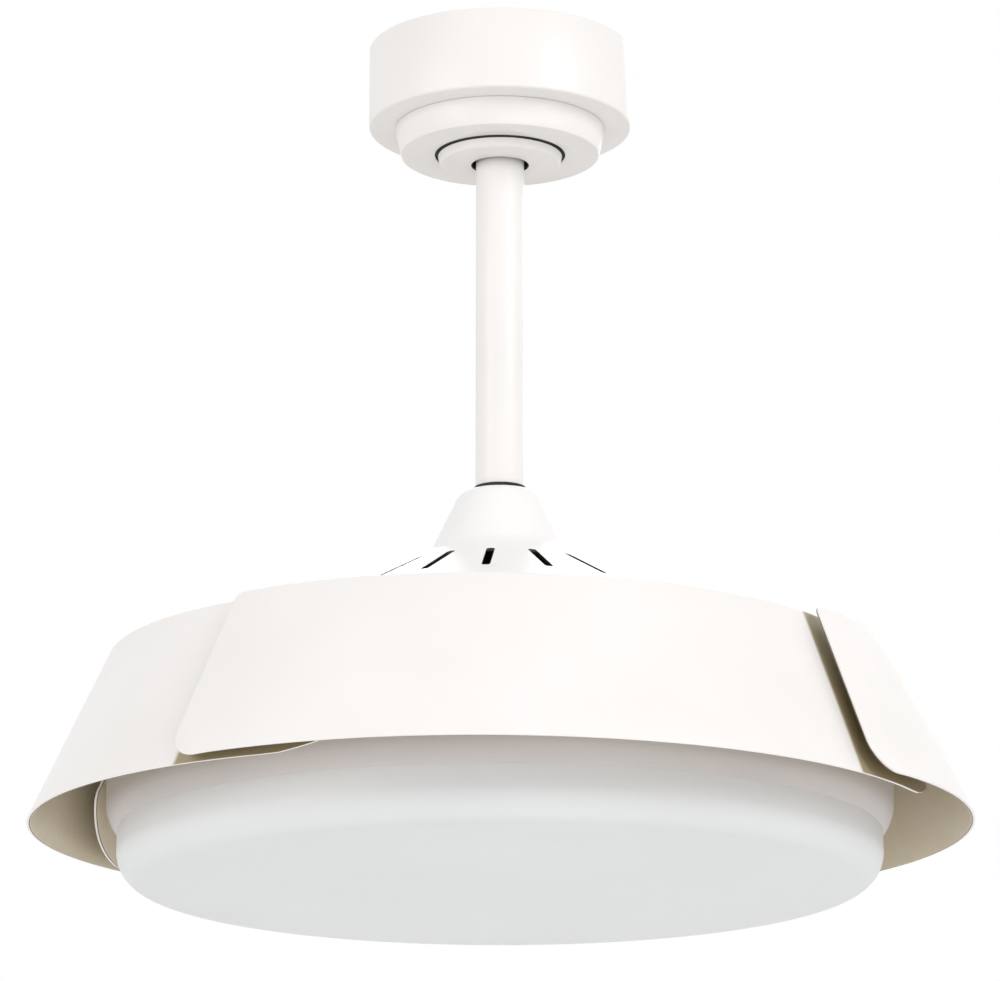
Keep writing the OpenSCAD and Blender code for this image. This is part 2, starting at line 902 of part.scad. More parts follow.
function tooth(teeth) =
    let (
        pitch = tooth_module * teeth / 2,
        root = pitch - 1.2 * tooth_module,
        tip = pitch + 0.9 * tooth_module,
        steps = 5,
        radii = concat([root - 1, root], [for (i = [0:steps])
            let (start = max(root, pitch * cos(pressure)) + 0.01) start + (tip - start) * i / steps]))
    concat([for (r = radii) tooth_side(teeth, r, -1)],
        [for (r = reversed(radii)) tooth_side(teeth, r, 1)]);

module blade_gear(i) {
    root = pinion_pitch - 1.2 * tooth_module;
    color("#e6e3da")
    rotate(90 * (i - 1))
        translate([pivot_dist, 0, gear_bottom])
            difference() {
                union() {
                    cylinder(r = root, h = gear_t);
                    for (k = [0:pinion_teeth - 1])
                        rotate(180 + (k + 0.5) * 360 / pinion_teeth)
                            linear_extrude(gear_t)
                                polygon(tooth(pinion_teeth));
                }
                translate([0, 0, -1])
                    cylinder(r = pin_r + run_gap, h = gear_t + 2);
            }
}

module sync_ring() {
    root = ring_pitch - 1.2 * tooth_module;
    pitch_angle = 360 / ring_teeth;
    color("#e6e3da")
    translate([0, 0, ring_top - ring_t])
        difference() {
            union() {
                cylinder(r = root, h = ring_t, $fn = 180);
                polar(4)
                    for (k = [tooth_first:tooth_last])
                        rotate(k * pitch_angle)
                            linear_extrude(ring_t)
                                polygon(tooth(ring_teeth));
            }
            translate([0, 0, -1])
                cylinder(r = collar_r + run_gap, h = ring_t + 2);
            polar(16, 11.25)
                translate([window_dist - 3, 0, -1])
                    cylinder(r = window_r - 1, h = ring_t + 2);
        }
}

// --------------------------------------------------------------------- blades

// The frame of a blade's own centre, dropped a little towards its tail
module blade_frame(i) {
    rotate(90 * (i - 1))
        translate([blade_offset * cos(offset_angle), blade_offset * sin(offset_angle), blade_bottom])
            rotate(tip_angle + blade_span / 2)
                rotate([-blade_tilt, 0, 0])
                    rotate(-tip_angle - blade_span / 2)
                        children();
}

// A slice of the cone that lies depth inside the blade's outer face
module cone_sheet(depth, sheet, low, high, first, span) {
    lean = blade_lean / blade_h;
    inset = depth / cos(lean_angle);
    wall = sheet / cos(lean_angle);
    rotate(first)
        rotate_extrude(angle = span, $fn = 180)
            polygon([[blade_r - inset - low * lean, low], [blade_r - inset - high * lean, high],
                [blade_r - inset - wall - high * lean, high], [blade_r - inset - wall - low * lean, low]]);
}

// Puts a flat shape on the blade's face at an angle: x runs along it, y up its slope
module on_face(angle) {
    rotate(angle)
        translate([blade_r, 0, 0])
            rotate([0, -lean_angle, 0])
                rotate([90, 0, 90])
                    translate([0, 0, -30])
                        linear_extrude(60)
                            children();
}

module tip_cut() {
    c = tip_corner;
    top = tip_top_corner;
    on_face(tip_angle)
        polygon(concat([[-30, -20], [c + 4, -20]],
            arc(c, c, c, -90, -180, 8),
            arc(tip_slant + top, slope_l - top, top, 180, 90, 6),
            [[tip_slant + top, slope_l + 4], [-30, slope_l + 4]]));
}

module tail_cut() {
    half = tail_cut_l / 2;
    on_face(tail_angle - atan(half / blade_r))
        polygon(concat([[half + 20, -20], [-half - 5, -20], [-half - 5, 0]],
            [for (i = [0:16]) [-half + tail_cut_l * i / 16, tail_cut_h * pow(i / 16, 2)]],
            [[half + 20, 1.4 * tail_cut_h]]));
}

module blade(i) {
    color("#f6f2ee")
    difference() {
        blade_frame(i)
            difference() {
                cone_sheet(0, blade_t, 0, blade_h, tip_angle, blade_span);
                tip_cut();
                tail_cut();
            }
        rivet_holes(i);
    }
}

module rivet_places(i) {
    for (k = [0:2])
        blade_frame(i)
            rotate(flange_start + flange_span * (0.15 + 0.35 * k))
                translate([blade_r, 0, 0])
                    rotate([0, -lean_angle, 0])
                        translate([0, 0, slope_l - rivet_down])
                            rotate([0, -90, 0])
                                children();
}

module rivet_holes(i) {
    rivet_places(i)
        translate([0, 0, -5])
            cylinder(r = rivet_r + run_gap, h = 20);
}

// Everything further out than a depth behind the blade's outer face
module beyond_face(depth) {
    lean = blade_lean / blade_h;
    face = blade_r - depth / cos(lean_angle);
    high = blade_h + 10;
    rotate(flange_start - 20)
        rotate_extrude(angle = -flange_start + 60, $fn = 180)
            polygon([[face, 0], [face + 60, 0], [face + 60, high], [face - high * lean, high]]);
}

// Flat arm with a boss on the pin and a leaning flange behind the blade
module blade_arm(i) {
    arm_start = flange_start - 3;
    color("#a3a6aa")
    difference() {
        union() {
            difference() {
                rotate(90 * (i - 1))
                    translate([0, 0, gear_bottom - arm_t])
                        rotate(arm_start)
                            rotate_extrude(angle = -arm_start, $fn = 180)
                                translate([arm_in_r, 0])
                                    square([blade_r - arm_in_r, arm_t]);
                blade_frame(i)
                    beyond_face(blade_t + seat_gap / 2 + flange_sheet / 2);
            }
            rotate(90 * (i - 1))
                translate([pivot_dist, 0, arm_bottom])
                    cylinder(r = arm_boss_r, h = arm_boss_h);
            blade_frame(i)
                cone_sheet(blade_t + seat_gap / 2, flange_sheet, flange_top - flange_h,
                    flange_top, flange_start, flange_span);
        }
        rotate(90 * (i - 1))
            translate([pivot_dist, 0, arm_bottom - 1]) {
                cylinder(r = pin_r + run_gap, h = arm_boss_h + 2);
                tube(spring_r + groove_half, spring_r - groove_half, groove_depth + 1);
            }
        rivet_holes(i);
    }
}

module blade_rivets(i) {
    color("#c4c6c8")
    rivet_places(i) {
        translate([0, 0, -1.1])
            cylinder(r = 3.6, h = 1.1);
        cylinder(r = rivet_r, h = blade_t + flange_sheet + seat_gap);
    }
}

// ----------------------------------------------------------------------- lamp

module shaft_nut() {
    color("#c4c6c8")
    translate([0, 0, shaft_end])
        difference() {
            cylinder(r = nut_r, h = nut_h, $fn = 6);
            translate([0, 0, -1])
                cylinder(r = shaft_r + run_gap, h = nut_h + 2);
        }
}

module light_mount_plate() {
    low = mount_plate_z - mount_plate_t;
    color("#a3a6aa")
    difference() {
        union() {
            translate([0, 0, low])
                cylinder(r = mount_plate_r, h = mount_plate_t);
            polar(3, 90)
                translate([light_bolt_r, 0, lamp_top])
                    cylinder(r = 6, h = low - lamp_top);
        }
        translate([0, 0, low - 1])
            cylinder(r = shaft_r + run_gap, h = mount_plate_t + 2);
        polar(3, 90)
            translate([light_bolt_r, 0, lamp_top - 1])
                cylinder(r = screw_r + run_gap, h = 20);
    }
}

// Lower edge of the lamp's ring, drawn in a little towards the diffuser
function lamp_edge(w) =
    bend([lamp_r - w, lamp_straight], [lamp_r - w, lamp_straight - 8], [diffuser_r - w, lamp_bottom], 6);

module light_pan() {
    w = lamp_wall;
    corner = 6;
    color("#d9d8d6")
    difference() {
        union() {
            rotate_extrude()
                polygon(concat(
                    [[pan_hole_r, lamp_top]],
                    arc(lamp_r - corner, lamp_top - corner, corner, 90, 0, 8),
                    lamp_edge(0),
                    reversed(lamp_edge(w)),
                    arc(lamp_r - corner, lamp_top - corner, corner - w, 0, 90, 8),
                    [[pan_hole_r, lamp_top - w]]));
            // Ledges that the diffuser's lugs turn over
            polar(3)
                rotate(-ledge_angle / 2)
                    rotate_extrude(angle = ledge_angle, $fn = 180)
                        translate([neck_r + 0.6, lug_z - 2])
                            square([lamp_r - neck_r - 4, 1.8]);
        }
        polar(3, 90)
            translate([light_bolt_r, 0, lamp_top - w - 1])
                cylinder(r = screw_r + 0.3, h = w + 2);
    }
}

module led_board() {
    color("#f3f3ee")
    translate([0, 0, board_z - board_t])
        tube(board_r, board_hole_r, board_t);
}

module led_chips() {
    color("#f2e7a8")
    for (ring = [0:2])
        polar(chips_per_ring, ring * 120 / chips_per_ring)
            translate([chip_ring_r + ring * chip_ring_step, 0, board_z - board_t - chip_t])
                translate([-chip / 2, -chip / 2, 0])
                    cube([chip, chip, chip_t]);
}

module led_driver() {
    color("#efefec")
    translate([-driver[0] / 2, -driver[1] / 2, board_z - driver[2]])
        cube(driver);
}

module diffuser() {
    w = lamp_wall;
    r = diffuser_r;
    round_in = diffuser_round - w;
    edge = r - diffuser_round;
    face = [for (i = [0:8]) let (x = edge * (1 - i / 8))
        [x, diffuser_bottom - diffuser_crown * (1 - pow(x / edge, 2))]];
    color("#f1f1ef")
    union() {
        rotate_extrude()
            polygon(concat(
                [[neck_r, diffuser_top + neck_h], [neck_r, diffuser_top], [r, diffuser_top]],
                arc(edge, diffuser_bottom + diffuser_round, diffuser_round, 0, -90, 10),
                [for (i = [1:8]) face[i]],
                reversed([for (i = [1:8]) [face[i][0], face[i][1] + w]]),
                arc(edge, diffuser_bottom + diffuser_round, round_in, -90, 0, 10),
                [[r - w, diffuser_top - w], [neck_r - w, diffuser_top - w],
                    [neck_r - w, diffuser_top + neck_h]]));
        polar(3)
            rotate(-lug_angle / 2)
                rotate_extrude(angle = lug_angle, $fn = 180)
                    translate([neck_r - w, lug_z + 0.1])
                        square([w + 2.4, lug_t]);
    }
}

mounting_bracket();
canopy();
canopy_screws();
canopy_screw_cover();
canopy_ring();
receiver();
terminal_block();
hanger_ball();
rod_pins();
set_screws();
downrod();
supply_cable();
motor_coupling();
clevis_clips();
pan_screws();
coupling_cover();
cover_grommet();
motor_shaft();
stator_core();
stator_coils();
bearing_inner_rings();
shaft_nut();
light_mount_plate();
light_pan();
led_board();
led_chips();
led_driver();
diffuser();
rotor_top_shell();
rotor_bottom_shell();
rotor_magnets();
rotor_screws();
bearing_outer_rings();
bearing_balls();
hub_plate();
hub_cover();
lower_plate();
plate_posts();
pivot_pins();
pivot_clips();
return_springs();
ring_retainer();
blade_stops();
sync_ring();
blade(1);  // blade_1
blade(2);  // blade_2
blade(3);  // blade_3
blade(4);  // blade_4
blade_arm(1);  // blade_arm_1
blade_arm(2);  // blade_arm_2
blade_arm(3);  // blade_arm_3
blade_arm(4);  // blade_arm_4
blade_gear(1);  // blade_gear_1
blade_gear(2);  // blade_gear_2
blade_gear(3);  // blade_gear_3
blade_gear(4);  // blade_gear_4
blade_rivets(1);  // blade_rivets_1
blade_rivets(2);  // blade_rivets_2
blade_rivets(3);  // blade_rivets_3
blade_rivets(4);  // blade_rivets_4
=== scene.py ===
import bmesh
import bpy
import json
import math
from mathutils import Matrix, Vector

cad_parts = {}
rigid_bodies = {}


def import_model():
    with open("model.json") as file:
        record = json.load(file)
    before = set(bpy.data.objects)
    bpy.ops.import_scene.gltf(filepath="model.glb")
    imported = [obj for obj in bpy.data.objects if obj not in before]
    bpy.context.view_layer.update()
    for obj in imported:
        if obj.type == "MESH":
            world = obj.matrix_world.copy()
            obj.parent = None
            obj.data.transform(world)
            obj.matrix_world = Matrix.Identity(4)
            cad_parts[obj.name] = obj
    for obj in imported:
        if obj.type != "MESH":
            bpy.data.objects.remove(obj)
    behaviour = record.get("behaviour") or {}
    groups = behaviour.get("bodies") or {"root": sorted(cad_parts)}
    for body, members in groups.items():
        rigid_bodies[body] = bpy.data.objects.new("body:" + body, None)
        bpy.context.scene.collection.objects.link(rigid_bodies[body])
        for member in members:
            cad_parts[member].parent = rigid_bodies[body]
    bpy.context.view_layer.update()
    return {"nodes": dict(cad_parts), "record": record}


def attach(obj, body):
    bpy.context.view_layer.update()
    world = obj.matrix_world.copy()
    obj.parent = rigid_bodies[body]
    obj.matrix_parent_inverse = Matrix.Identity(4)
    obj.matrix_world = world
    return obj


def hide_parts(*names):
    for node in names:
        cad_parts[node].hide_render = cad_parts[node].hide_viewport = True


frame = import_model()
nodes = frame["nodes"]

# Sizes that the pieces share with the construction, in millimetres and degrees
mm = 0.001
seat_gap = 0.2

# Blades: the leaning skin, its place, the tip, the tail, where the painted shade under the next blade's lap
# begins, the rivets, and the depth where the outer coat gives way to the inner, from 0 at the outer skin to
# 1
blade_r = 240.6
blade_h = 91.5
blade_lean = 42.3
blade_t = 2.2
blade_span = 125.6
blade_tilt = 0.33
blade_offset = 14.2
offset_angle = -109.7
blade_bottom = -441.9
tail_angle = -6.6
tip_angle = tail_angle - blade_span
tip_corner = 17
tip_slant = 4.6
tip_top_corner = 5
tail_cut_l = 87
tail_cut_h = 34.5
lap_angle = -37.4
lap_start = -6
lap_slope = 0.1126
flange_start = tail_angle - 27
flange_span = 20
rivet_down = 27
rivet_first = 0.15
rivet_step = 0.35
coats_from = 0.56
coats_to = 0.6
lean = math.atan2(blade_lean, blade_h)
slope_l = math.hypot(blade_lean, blade_h)

# Lamp: the diffuser with its neck and lugs, the ring above it, and the board's chips
diffuser_r = 205.2
diffuser_top = -445.8
diffuser_bottom = -474.2
diffuser_round = 17.5
diffuser_crown = 1.5
# Heights between which painted light whitens the diffuser toward the seam, where the ring and blades shade
# it
painted_light_low_z = -463
painted_light_high_z = -448
neck_r = 202.6
neck_h = 9
lug_z = -439.0
lug_reach = 2.4
lug_angle = 6
lamp_bottom = -445.5
lamp_top = -401
lamp_wall = 1.8
light_bolt_r = 50
board_face = -404.4
chip_ring_r = 90
chip_ring_step = 38
chips_per_ring = 16

# Canopy, rod and bell
canopy_screw_x = 49
canopy_screw_z = -46
# The canopy ring's bore, and the height above which the ring is painted black as shadow of the gap under the
# cover
ring_bore_r = 16.1
gap_shadow_z = -61.9
rod_r = 13.35
rod_wall = 2.15
cable_r = 3.6
bell_top = -255
bell_flank_r = 52
flange_bolt_r = 24.5
flange_screw_z = -303

# Motor and the blades' carrier
motor_mid = -357
motor_bottom = -384
rotor_bolt_r = 73
hub_z = -351
hub_bolt_r = 86
lower_z = -378
pivot_dist = 180
coil_wire = 2.1
spring_wire = 1.2


# ------------------------------------------------------------------- finishes

def colour(text):
    """Linear colour of a hex sRGB colour."""
    parts = [int(text[i : i + 2], 16) / 255 for i in (0, 2, 4)]
    return [c / 12.92 if c <= 0.04045 else ((c + 0.055) / 1.055) ** 2.4 for c in parts] + [1.0]


class Nodes:
    """A node tree, and short ways to add nodes to it and join them."""

    def __init__(self, tree, family):
        self.tree = tree
        self.family = family
        tree.nodes.clear()

    def put(self, socket, value):
        """Join an output, or each output of a list, to a socket, or set the socket's own value."""
        outputs = value if isinstance(value, list) else [value]
        if isinstance(outputs[0], bpy.types.NodeSocket):
            for output in outputs:
                self.tree.links.new(output, socket)
        else:
            socket.default_value = value

    def node(self, kind, inputs=(), **settings):
        made = self.tree.nodes.new(self.family + kind)
        for key, value in settings.items():
            setattr(made, key, value)
        for key, value in dict(inputs).items():
            self.put(made.inputs[key], value)
        return made

    def maths(self, operation, first, second=0.0):
        made = self.tree.nodes.new("ShaderNodeMath")
        made.operation = operation
        self.put(made.inputs[0], first)
        self.put(made.inputs[1], second)
        return made.outputs[0]

    def times(self, first, second):
        return self.maths("MULTIPLY", first, second)

    def background_rays(self):
        """1 for the rays that meet the background: from the camera, off gloss and through glass."""
        path = self.node("LightPath").outputs
        met = self.maths("MAXIMUM", path["Is Camera Ray"], path["Is Glossy Ray"])
        return self.maths("MAXIMUM", met, path["Is Transmission Ray"])


class Finish(Nodes):
    """A material's nodes, with what the finishes below have in common."""

    def __init__(self, name):
        self.material = bpy.data.materials.new(name)
        self.material.use_nodes = True
        super().__init__(self.material.node_tree, "ShaderNode")
        self.out = self.node("OutputMaterial")
        self.shader = self.node("BsdfPrincipled")
        self.put(self.out.inputs["Surface"], self.shader.outputs["BSDF"])
        where = self.node("TexCoord").outputs
        self.place = where["Object"]
        self.normal = where["Normal"]

    def vector(self, operation, first, second=(0, 0, 0)):
        made = self.node("VectorMath", {0: first, 1: second}, operation=operation)
        return made.outputs["Value" if operation in ("LENGTH", "DOT_PRODUCT") else "Vector"]

    def noise(self, scale, detail=2.0, rough=0.5, stretch=None):
        where = self.place
        if stretch:
            where = self.node("Mapping", {"Vector": where, "Scale": stretch}).outputs["Vector"]
        made = self.node("TexNoise", {"Vector": where, "Scale": scale, "Detail": detail, "Roughness": rough})
        return made.outputs["Fac"]

    def spread(self, value, low, high, to_low=0.0, to_high=1.0, smooth=True):
        made = self.node("MapRange", {"Value": value, "From Min": low, "From Max": high,
                                      "To Min": to_low, "To Max": to_high})
        made.interpolation_type = "SMOOTHSTEP" if smooth else "LINEAR"
        return made.outputs["Result"]

    def mix(self, share, first, second):
        made = self.node("Mix", data_type="RGBA")
        self.put(made.inputs[0], share)
        self.put(made.inputs[6], first)
        self.put(made.inputs[7], second)
        return made.outputs[2]

    def uneven(self, scale, low, high):
        """A value that wanders between low and high."""
        return self.spread(self.noise(scale), 0.3, 0.7, low, high)

    def clouded(self, scale, detail, pale, deep):
        """A colour that wanders between two."""
        return self.mix(self.spread(self.noise(scale, detail), 0.3, 0.7), colour(pale), colour(deep))

    def bump(self, height, distance, strength):
        made = self.node("Bump", {"Height": height, "Distance": distance, "Strength": strength})
        return made.outputs["Normal"]

    def height(self):
        return self.vector("DOT_PRODUCT", self.place, (0, 0, 1))

    def from_axis(self):
        return self.vector("LENGTH", self.vector("MULTIPLY", self.place, (1, 1, 0)))

    def outward(self):
        """How far a face looks away from the fan's axis, from -1 to 1."""
        ray = self.vector("NORMALIZE", self.vector("MULTIPLY", self.place, (1, 1, 0)))
        return self.vector("DOT_PRODUCT", ray, self.normal)

    def set(self, **values):
        for key, value in values.items():
            self.put(self.shader.inputs[key.replace("_", " ")], value)


def painted(name, pale, deep, rough):
    """Powder coat: a faint orange peel and barely uneven colour."""
    f = Finish(name)
    f.set(Base_Color=f.clouded(9, 3, pale, deep),
          Roughness=f.uneven(160, rough - 0.04, rough + 0.05),
          Normal=f.bump(f.noise(900), 0.00004, 0.35))
    f.set(Coat_Weight=0.12, Coat_Roughness=0.25, IOR=1.48)
    return f.material


def moulded(name, pale, deep, rough):
    """Moulded plastic with a fine eroded grain."""
    f = Finish(name)
    f.set(Base_Color=f.clouded(14, 2, pale, deep),
          Roughness=f.uneven(350, rough - 0.05, rough + 0.06),
          Normal=f.bump(f.noise(1400, 3, 0.6), 0.00003, 0.5))
    f.set(IOR=1.49)
    return f.material


def bell_finish(name):
    """White skin on the flank and on what looks up, and black painted shade inside and in the air slots."""
    f = Finish(name)
    flank = f.maths("LESS_THAN", f.from_axis(), bell_flank_r * mm)
    skin = f.times(flank, f.maths("GREATER_THAN", f.outward(), 0.0))
    top = f.maths("GREATER_THAN", f.vector("DOT_PRODUCT", f.normal, (0, 0, 1)), 0.3)
    # Painted shade: faces inside the bell and in its slots are black, for the shadow in there
    inside = f.maths("SUBTRACT", 1.0, f.maths("MAXIMUM", skin, top))
    white = f.clouded(14, 2, "fcfbfa", "faf8f6")
    painted_shade_black = f.mix(f.noise(300), colour("121110"), colour("1c1a19"))
    f.set(Base_Color=f.mix(inside, white, painted_shade_black),
          Roughness=f.uneven(350, 0.34, 0.44),
          Normal=f.bump(f.noise(1400, 3, 0.6), 0.00003, 0.5))
    f.set(IOR=1.49)
    return f.material


def ring_finish(name):
    """White paint, with painted shadow in black: a band along the top for the gap under the cover, and the
    bore.
    """
    f = Finish(name)
    bore = f.maths("LESS_THAN", f.from_axis(), ring_bore_r * mm)
    gap_shadow_mask = f.maths("MAXIMUM", bore, f.maths("GREATER_THAN", f.height(), gap_shadow_z * mm))
    white = f.clouded(9, 3, "f9f6f4", "f5f2ef")
    gap_shadow_black = f.mix(f.noise(900, 3), colour("0e0e10"), colour("1a1a1c"))
    f.set(Base_Color=f.mix(gap_shadow_mask, white, gap_shadow_black),
          Roughness=f.uneven(160, 0.4, 0.5),
          Normal=f.bump(f.noise(900), 0.00004, 0.35))
    f.set(IOR=1.48)
    return f.material


def metal(name, pale, deep, rough, brushed=(1, 1, 1)):
    """Bare metal, brushed along the axis that has the small scale."""
    f = Finish(name)
    streak = f.noise(220, 4, 0.6, stretch=brushed)
    f.set(Base_Color=f.mix(streak, colour(pale), colour(deep)),
          Roughness=f.spread(streak, 0.3, 0.7, rough - 0.06, rough + 0.08),
          Normal=f.bump(streak, 0.00003, 0.4))
    f.set(Metallic=1.0)
    return f.material


def rubber(name, dark):
    """Matt rubber with a faint grain."""
    f = Finish(name)
    f.set(Base_Color=f.mix(f.noise(300, 3), colour(dark), colour("1d1d1f")),
          Roughness=f.uneven(120, 0.6, 0.8),
          Normal=f.bump(f.noise(1500), 0.00005, 0.4))
    return f.material


def blade_finish(number):
    """White outer skin, champagne inside, and painted shade in a darker bronze on the outer skin under the
    next blade's lap.
    """
    f = Finish(f"blade_finish_{number}")
    turn = math.radians(90 * (number - 1))
    away = math.radians(offset_angle)
    centre = Matrix.Rotation(turn, 3, "Z") @ Vector(
        (blade_offset * mm * math.cos(away), blade_offset * mm * math.sin(away), 0))
    flat = f.vector("MULTIPLY", f.vector("SUBTRACT", f.place, tuple(centre)), (1, 1, 0))
    depth = f.node("Attribute", attribute_name="depth").outputs["Fac"]
    inner = f.spread(depth, coats_from, coats_to, smooth=False)
    # How far round the face is from the line where the next blade's lap begins
    edge = math.radians(lap_angle) + turn
    past = f.vector("DOT_PRODUCT", flat, (-math.sin(edge), math.cos(edge), 0))
    height = f.maths("ADD", f.height(), -blade_bottom * mm)
    start = f.maths("ADD", f.times(height, lap_slope), lap_start * mm)
    # Painted shade: the outer skin under the next blade's lap is tinted for the shadow that the lap casts
    lap = f.spread(f.maths("SUBTRACT", past, start), -0.0012, 0.0025)
    skin = f.spread(depth, 0.02, 0.12, 1.0, 0.0, smooth=False)
    lap_shade = f.times(lap, skin)
    tan = f.maths("MAXIMUM", inner, lap_shade)
    cloud = f.spread(f.noise(11, 3), 0.3, 0.7)
    white = f.mix(cloud, colour("faf7f5"), colour("f6f3f0"))
    champagne = f.mix(cloud, colour("d8ccb4"), colour("cfc2a8"))
    champagne = f.mix(f.spread(f.noise(2600), 0.35, 0.7), champagne, colour("c6b99c"))
    # Painted shadow under the lap: a darker bronze
    lap_shade_colour = f.mix(cloud, colour("a89b7c"), colour("9f9172"))
    champagne = f.mix(lap_shade, champagne, lap_shade_colour)
    # The inner half of the cut edge, where the two coats meet, is a darker brown
    rim = f.times(inner, f.spread(depth, 0.8, 0.92, 1.0, 0.0, smooth=False))
    champagne = f.mix(rim, champagne, colour("6f6250"))
    f.set(Base_Color=f.mix(tan, white, champagne),
          Roughness=f.maths("ADD", f.uneven(180, 0.36, 0.44), f.times(tan, 0.06)),
          Metallic=f.times(tan, 0.15),
          Normal=f.bump(f.noise(1000), 0.00003, 0.3))
    f.set(Coat_Weight=0.15, Coat_Roughness=0.2, IOR=1.49)
    return f.material


def frosted(name):
    """Opal acrylic: slightly milky, with painted light that whitens it up toward the seam where it lies in
    shade, and a fine matt frost.
    """
    f = Finish(name)
    milk = f.clouded(7, 2, "eff1f3", "eceef0")
    # Painted light: whiter toward the top, under the seam
    painted_light_share = f.spread(f.height(), painted_light_low_z * mm, painted_light_high_z * mm)
    f.set(Base_Color=f.mix(painted_light_share, milk, colour("f5f6f8")),
          Roughness=f.uneven(260, 0.42, 0.5),
          Normal=f.bump(f.noise(1800, 3), 0.00002, 0.35))
    f.set(IOR=1.49, Subsurface_Weight=0.15, Subsurface_Scale=0.004, Subsurface_Radius=(1.0, 1.0, 1.0))
    return f.material


FINISHES = {
    "white_paint": painted("white_paint", "f9f6f4", "f5f2ef", 0.42),
    "lamp_metal": painted("lamp_paint", "dad5d4", "d5d0cf", 0.5),
    "cover_plastic": moulded("cover_plastic", "f9f7f5", "f5f3f0", 0.38),
    "ring_paint": ring_finish("ring_paint"),
    "bell_plastic": bell_finish("bell_plastic"),
    "diffuser_plastic": frosted("opal_acrylic"),
    "receiver_plastic": moulded("receiver_plastic", "f0f0ee", "ebebe8", 0.5),
    "block_plastic": moulded("block_plastic", "e6e1d3", "ddd7c7", 0.5),
    "ball_plastic": moulded("ball_plastic", "3a3a3c", "303032", 0.42),
    "driver_plastic": moulded("driver_plastic", "efefed", "e8e8e5", 0.5),
    "gear_plastic": moulded("gear_plastic", "e8e5dc", "dfdbd0", 0.4),
    "board_white": moulded("board_mask", "f3f3ef", "ecece6", 0.35),
    "chip_yellow": moulded("phosphor", "f2e2a0", "ecd98c", 0.4),
    "bracket_steel": metal("zinc_plate", "c3c6ca", "aeb2b7", 0.34, (0.2, 3, 3)),
    "screw_steel": metal("plated_steel", "d2d4d7", "bfc2c6", 0.24),
    # Cast motor parts in dark grey; the darkness also stands in for the shade seen through the bell's air
    # slots
    "cast_metal": metal("cast_alloy", "6c6e72", "595b5f", 0.5),
    "shaft_steel": metal("turned_steel", "cbced2", "b4b8bd", 0.26, (1, 1, 12)),
    "core_steel": metal("core_laminations", "7b7e83", "5e6166", 0.5, (0.3, 0.3, 30)),
    "coil_copper": metal("enamelled_copper", "b8713a", "9a5524", 0.3, (1, 1, 8)),
    "bearing_steel": metal("bearing_steel", "dadde0", "c7cbd0", 0.16),
    "plate_metal": metal("satin_sheet", "b9bcc0", "a4a8ad", 0.36, (4, 0.3, 1)),
    "magnet": metal("magnet_coat", "62656a", "4c4f54", 0.5),
    "clip_steel": metal("black_steel", "5a5d61", "45484c", 0.4),
    "spring_steel": metal("spring_wire", "a2a6ab", "8a8e94", 0.3),
    "cable_jacket": rubber("cable_jacket", "161618"),
    # Near-black, partly as painted shade for the gap round the rod
    "grommet_rubber": rubber("grommet_rubber", "08080a"),
    "stop_rubber": rubber("stop_rubber", "141416"),
    "core_brown": moulded("core_brown", "6b4028", "5f3821", 0.4),
    "core_blue": moulded("core_blue", "2f5fa8", "28549a", 0.4),
    "core_green": moulded("core_green", "4f8f3c", "447f33", 0.4),
}

OWN_FINISH = {"coupling_cover": "bell_plastic", "canopy_ring": "ring_paint"}

slot_of = {s["node"]: s["material_slot"] for s in frame["record"]["subparts"]}
body_of = {node: body for body, held in frame["record"]["behaviour"]["bodies"].items() for node in held}
blade_finishes = {number: blade_finish(number) for number in (1, 2, 3, 4)}


def finish_of(node):
    if slot_of[node] == "blade_plastic":
        return blade_finishes[int(node[-1])]
    return FINISHES[OWN_FINISH.get(node, slot_of[node])]


for name, obj in nodes.items():
    for holder in obj.material_slots:
        holder.material = finish_of(name)


# --------------------------------------------------------------- making pieces

def placed(name, data):
    """An object of a mesh, a lamp or a camera, in the scene."""
    obj = bpy.data.objects.new(name, data)
    bpy.context.scene.collection.objects.link(obj)
    return obj


def meshed(name, work):
    """The mesh of a bmesh, which is gone after this."""
    mesh = bpy.data.meshes.new(name)
    work.to_mesh(mesh)
    work.free()
    return mesh


def piece(name, mesh, node):
    """An object that stands for a node, on that node's body and with its slot."""
    obj = placed(name, mesh)
    if not mesh.materials:
        mesh.materials.append(finish_of(node))
    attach(obj, body_of[node])
    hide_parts(node)


def settled(obj):
    """The plain mesh that an object's modifiers give. The object itself is gone after this."""
    depsgraph = bpy.context.evaluated_depsgraph_get()
    mesh = bpy.data.meshes.new_from_object(obj.evaluated_get(depsgraph), depsgraph=depsgraph)
    bpy.data.objects.remove(obj)
    return mesh


def shade(mesh, degrees=35):
    """Smooth, but sharp where two faces meet at more than the angle."""
    mesh.shade_smooth()
    mesh.set_sharp_from_angle(angle=math.radians(degrees))
    return mesh


def eased(node, width):
    """A node's own shape with its hard edges broken, as deburring or a mould leaves them."""
    # Loose triangles are merged, and those of one flat face joined, so that only real edges are left
    work = bmesh.new()
    work.from_mesh(nodes[node].data)
    bmesh.ops.remove_doubles(work, verts=work.verts, dist=0.000002)
    bmesh.ops.dissolve_limit(work, angle_limit=math.radians(0.3), verts=work.verts, edges=work.edges)
    obj = placed(node + "_work", meshed(node + "_eased", work))
    edge = obj.modifiers.new("edge", "BEVEL")
    edge.width = width * mm
    edge.segments = 2
    edge.limit_method = "ANGLE"
    edge.angle_limit = math.radians(40)
    mesh = settled(obj)
    mesh.materials.clear()
    piece(node + "_body", shade(mesh), node)


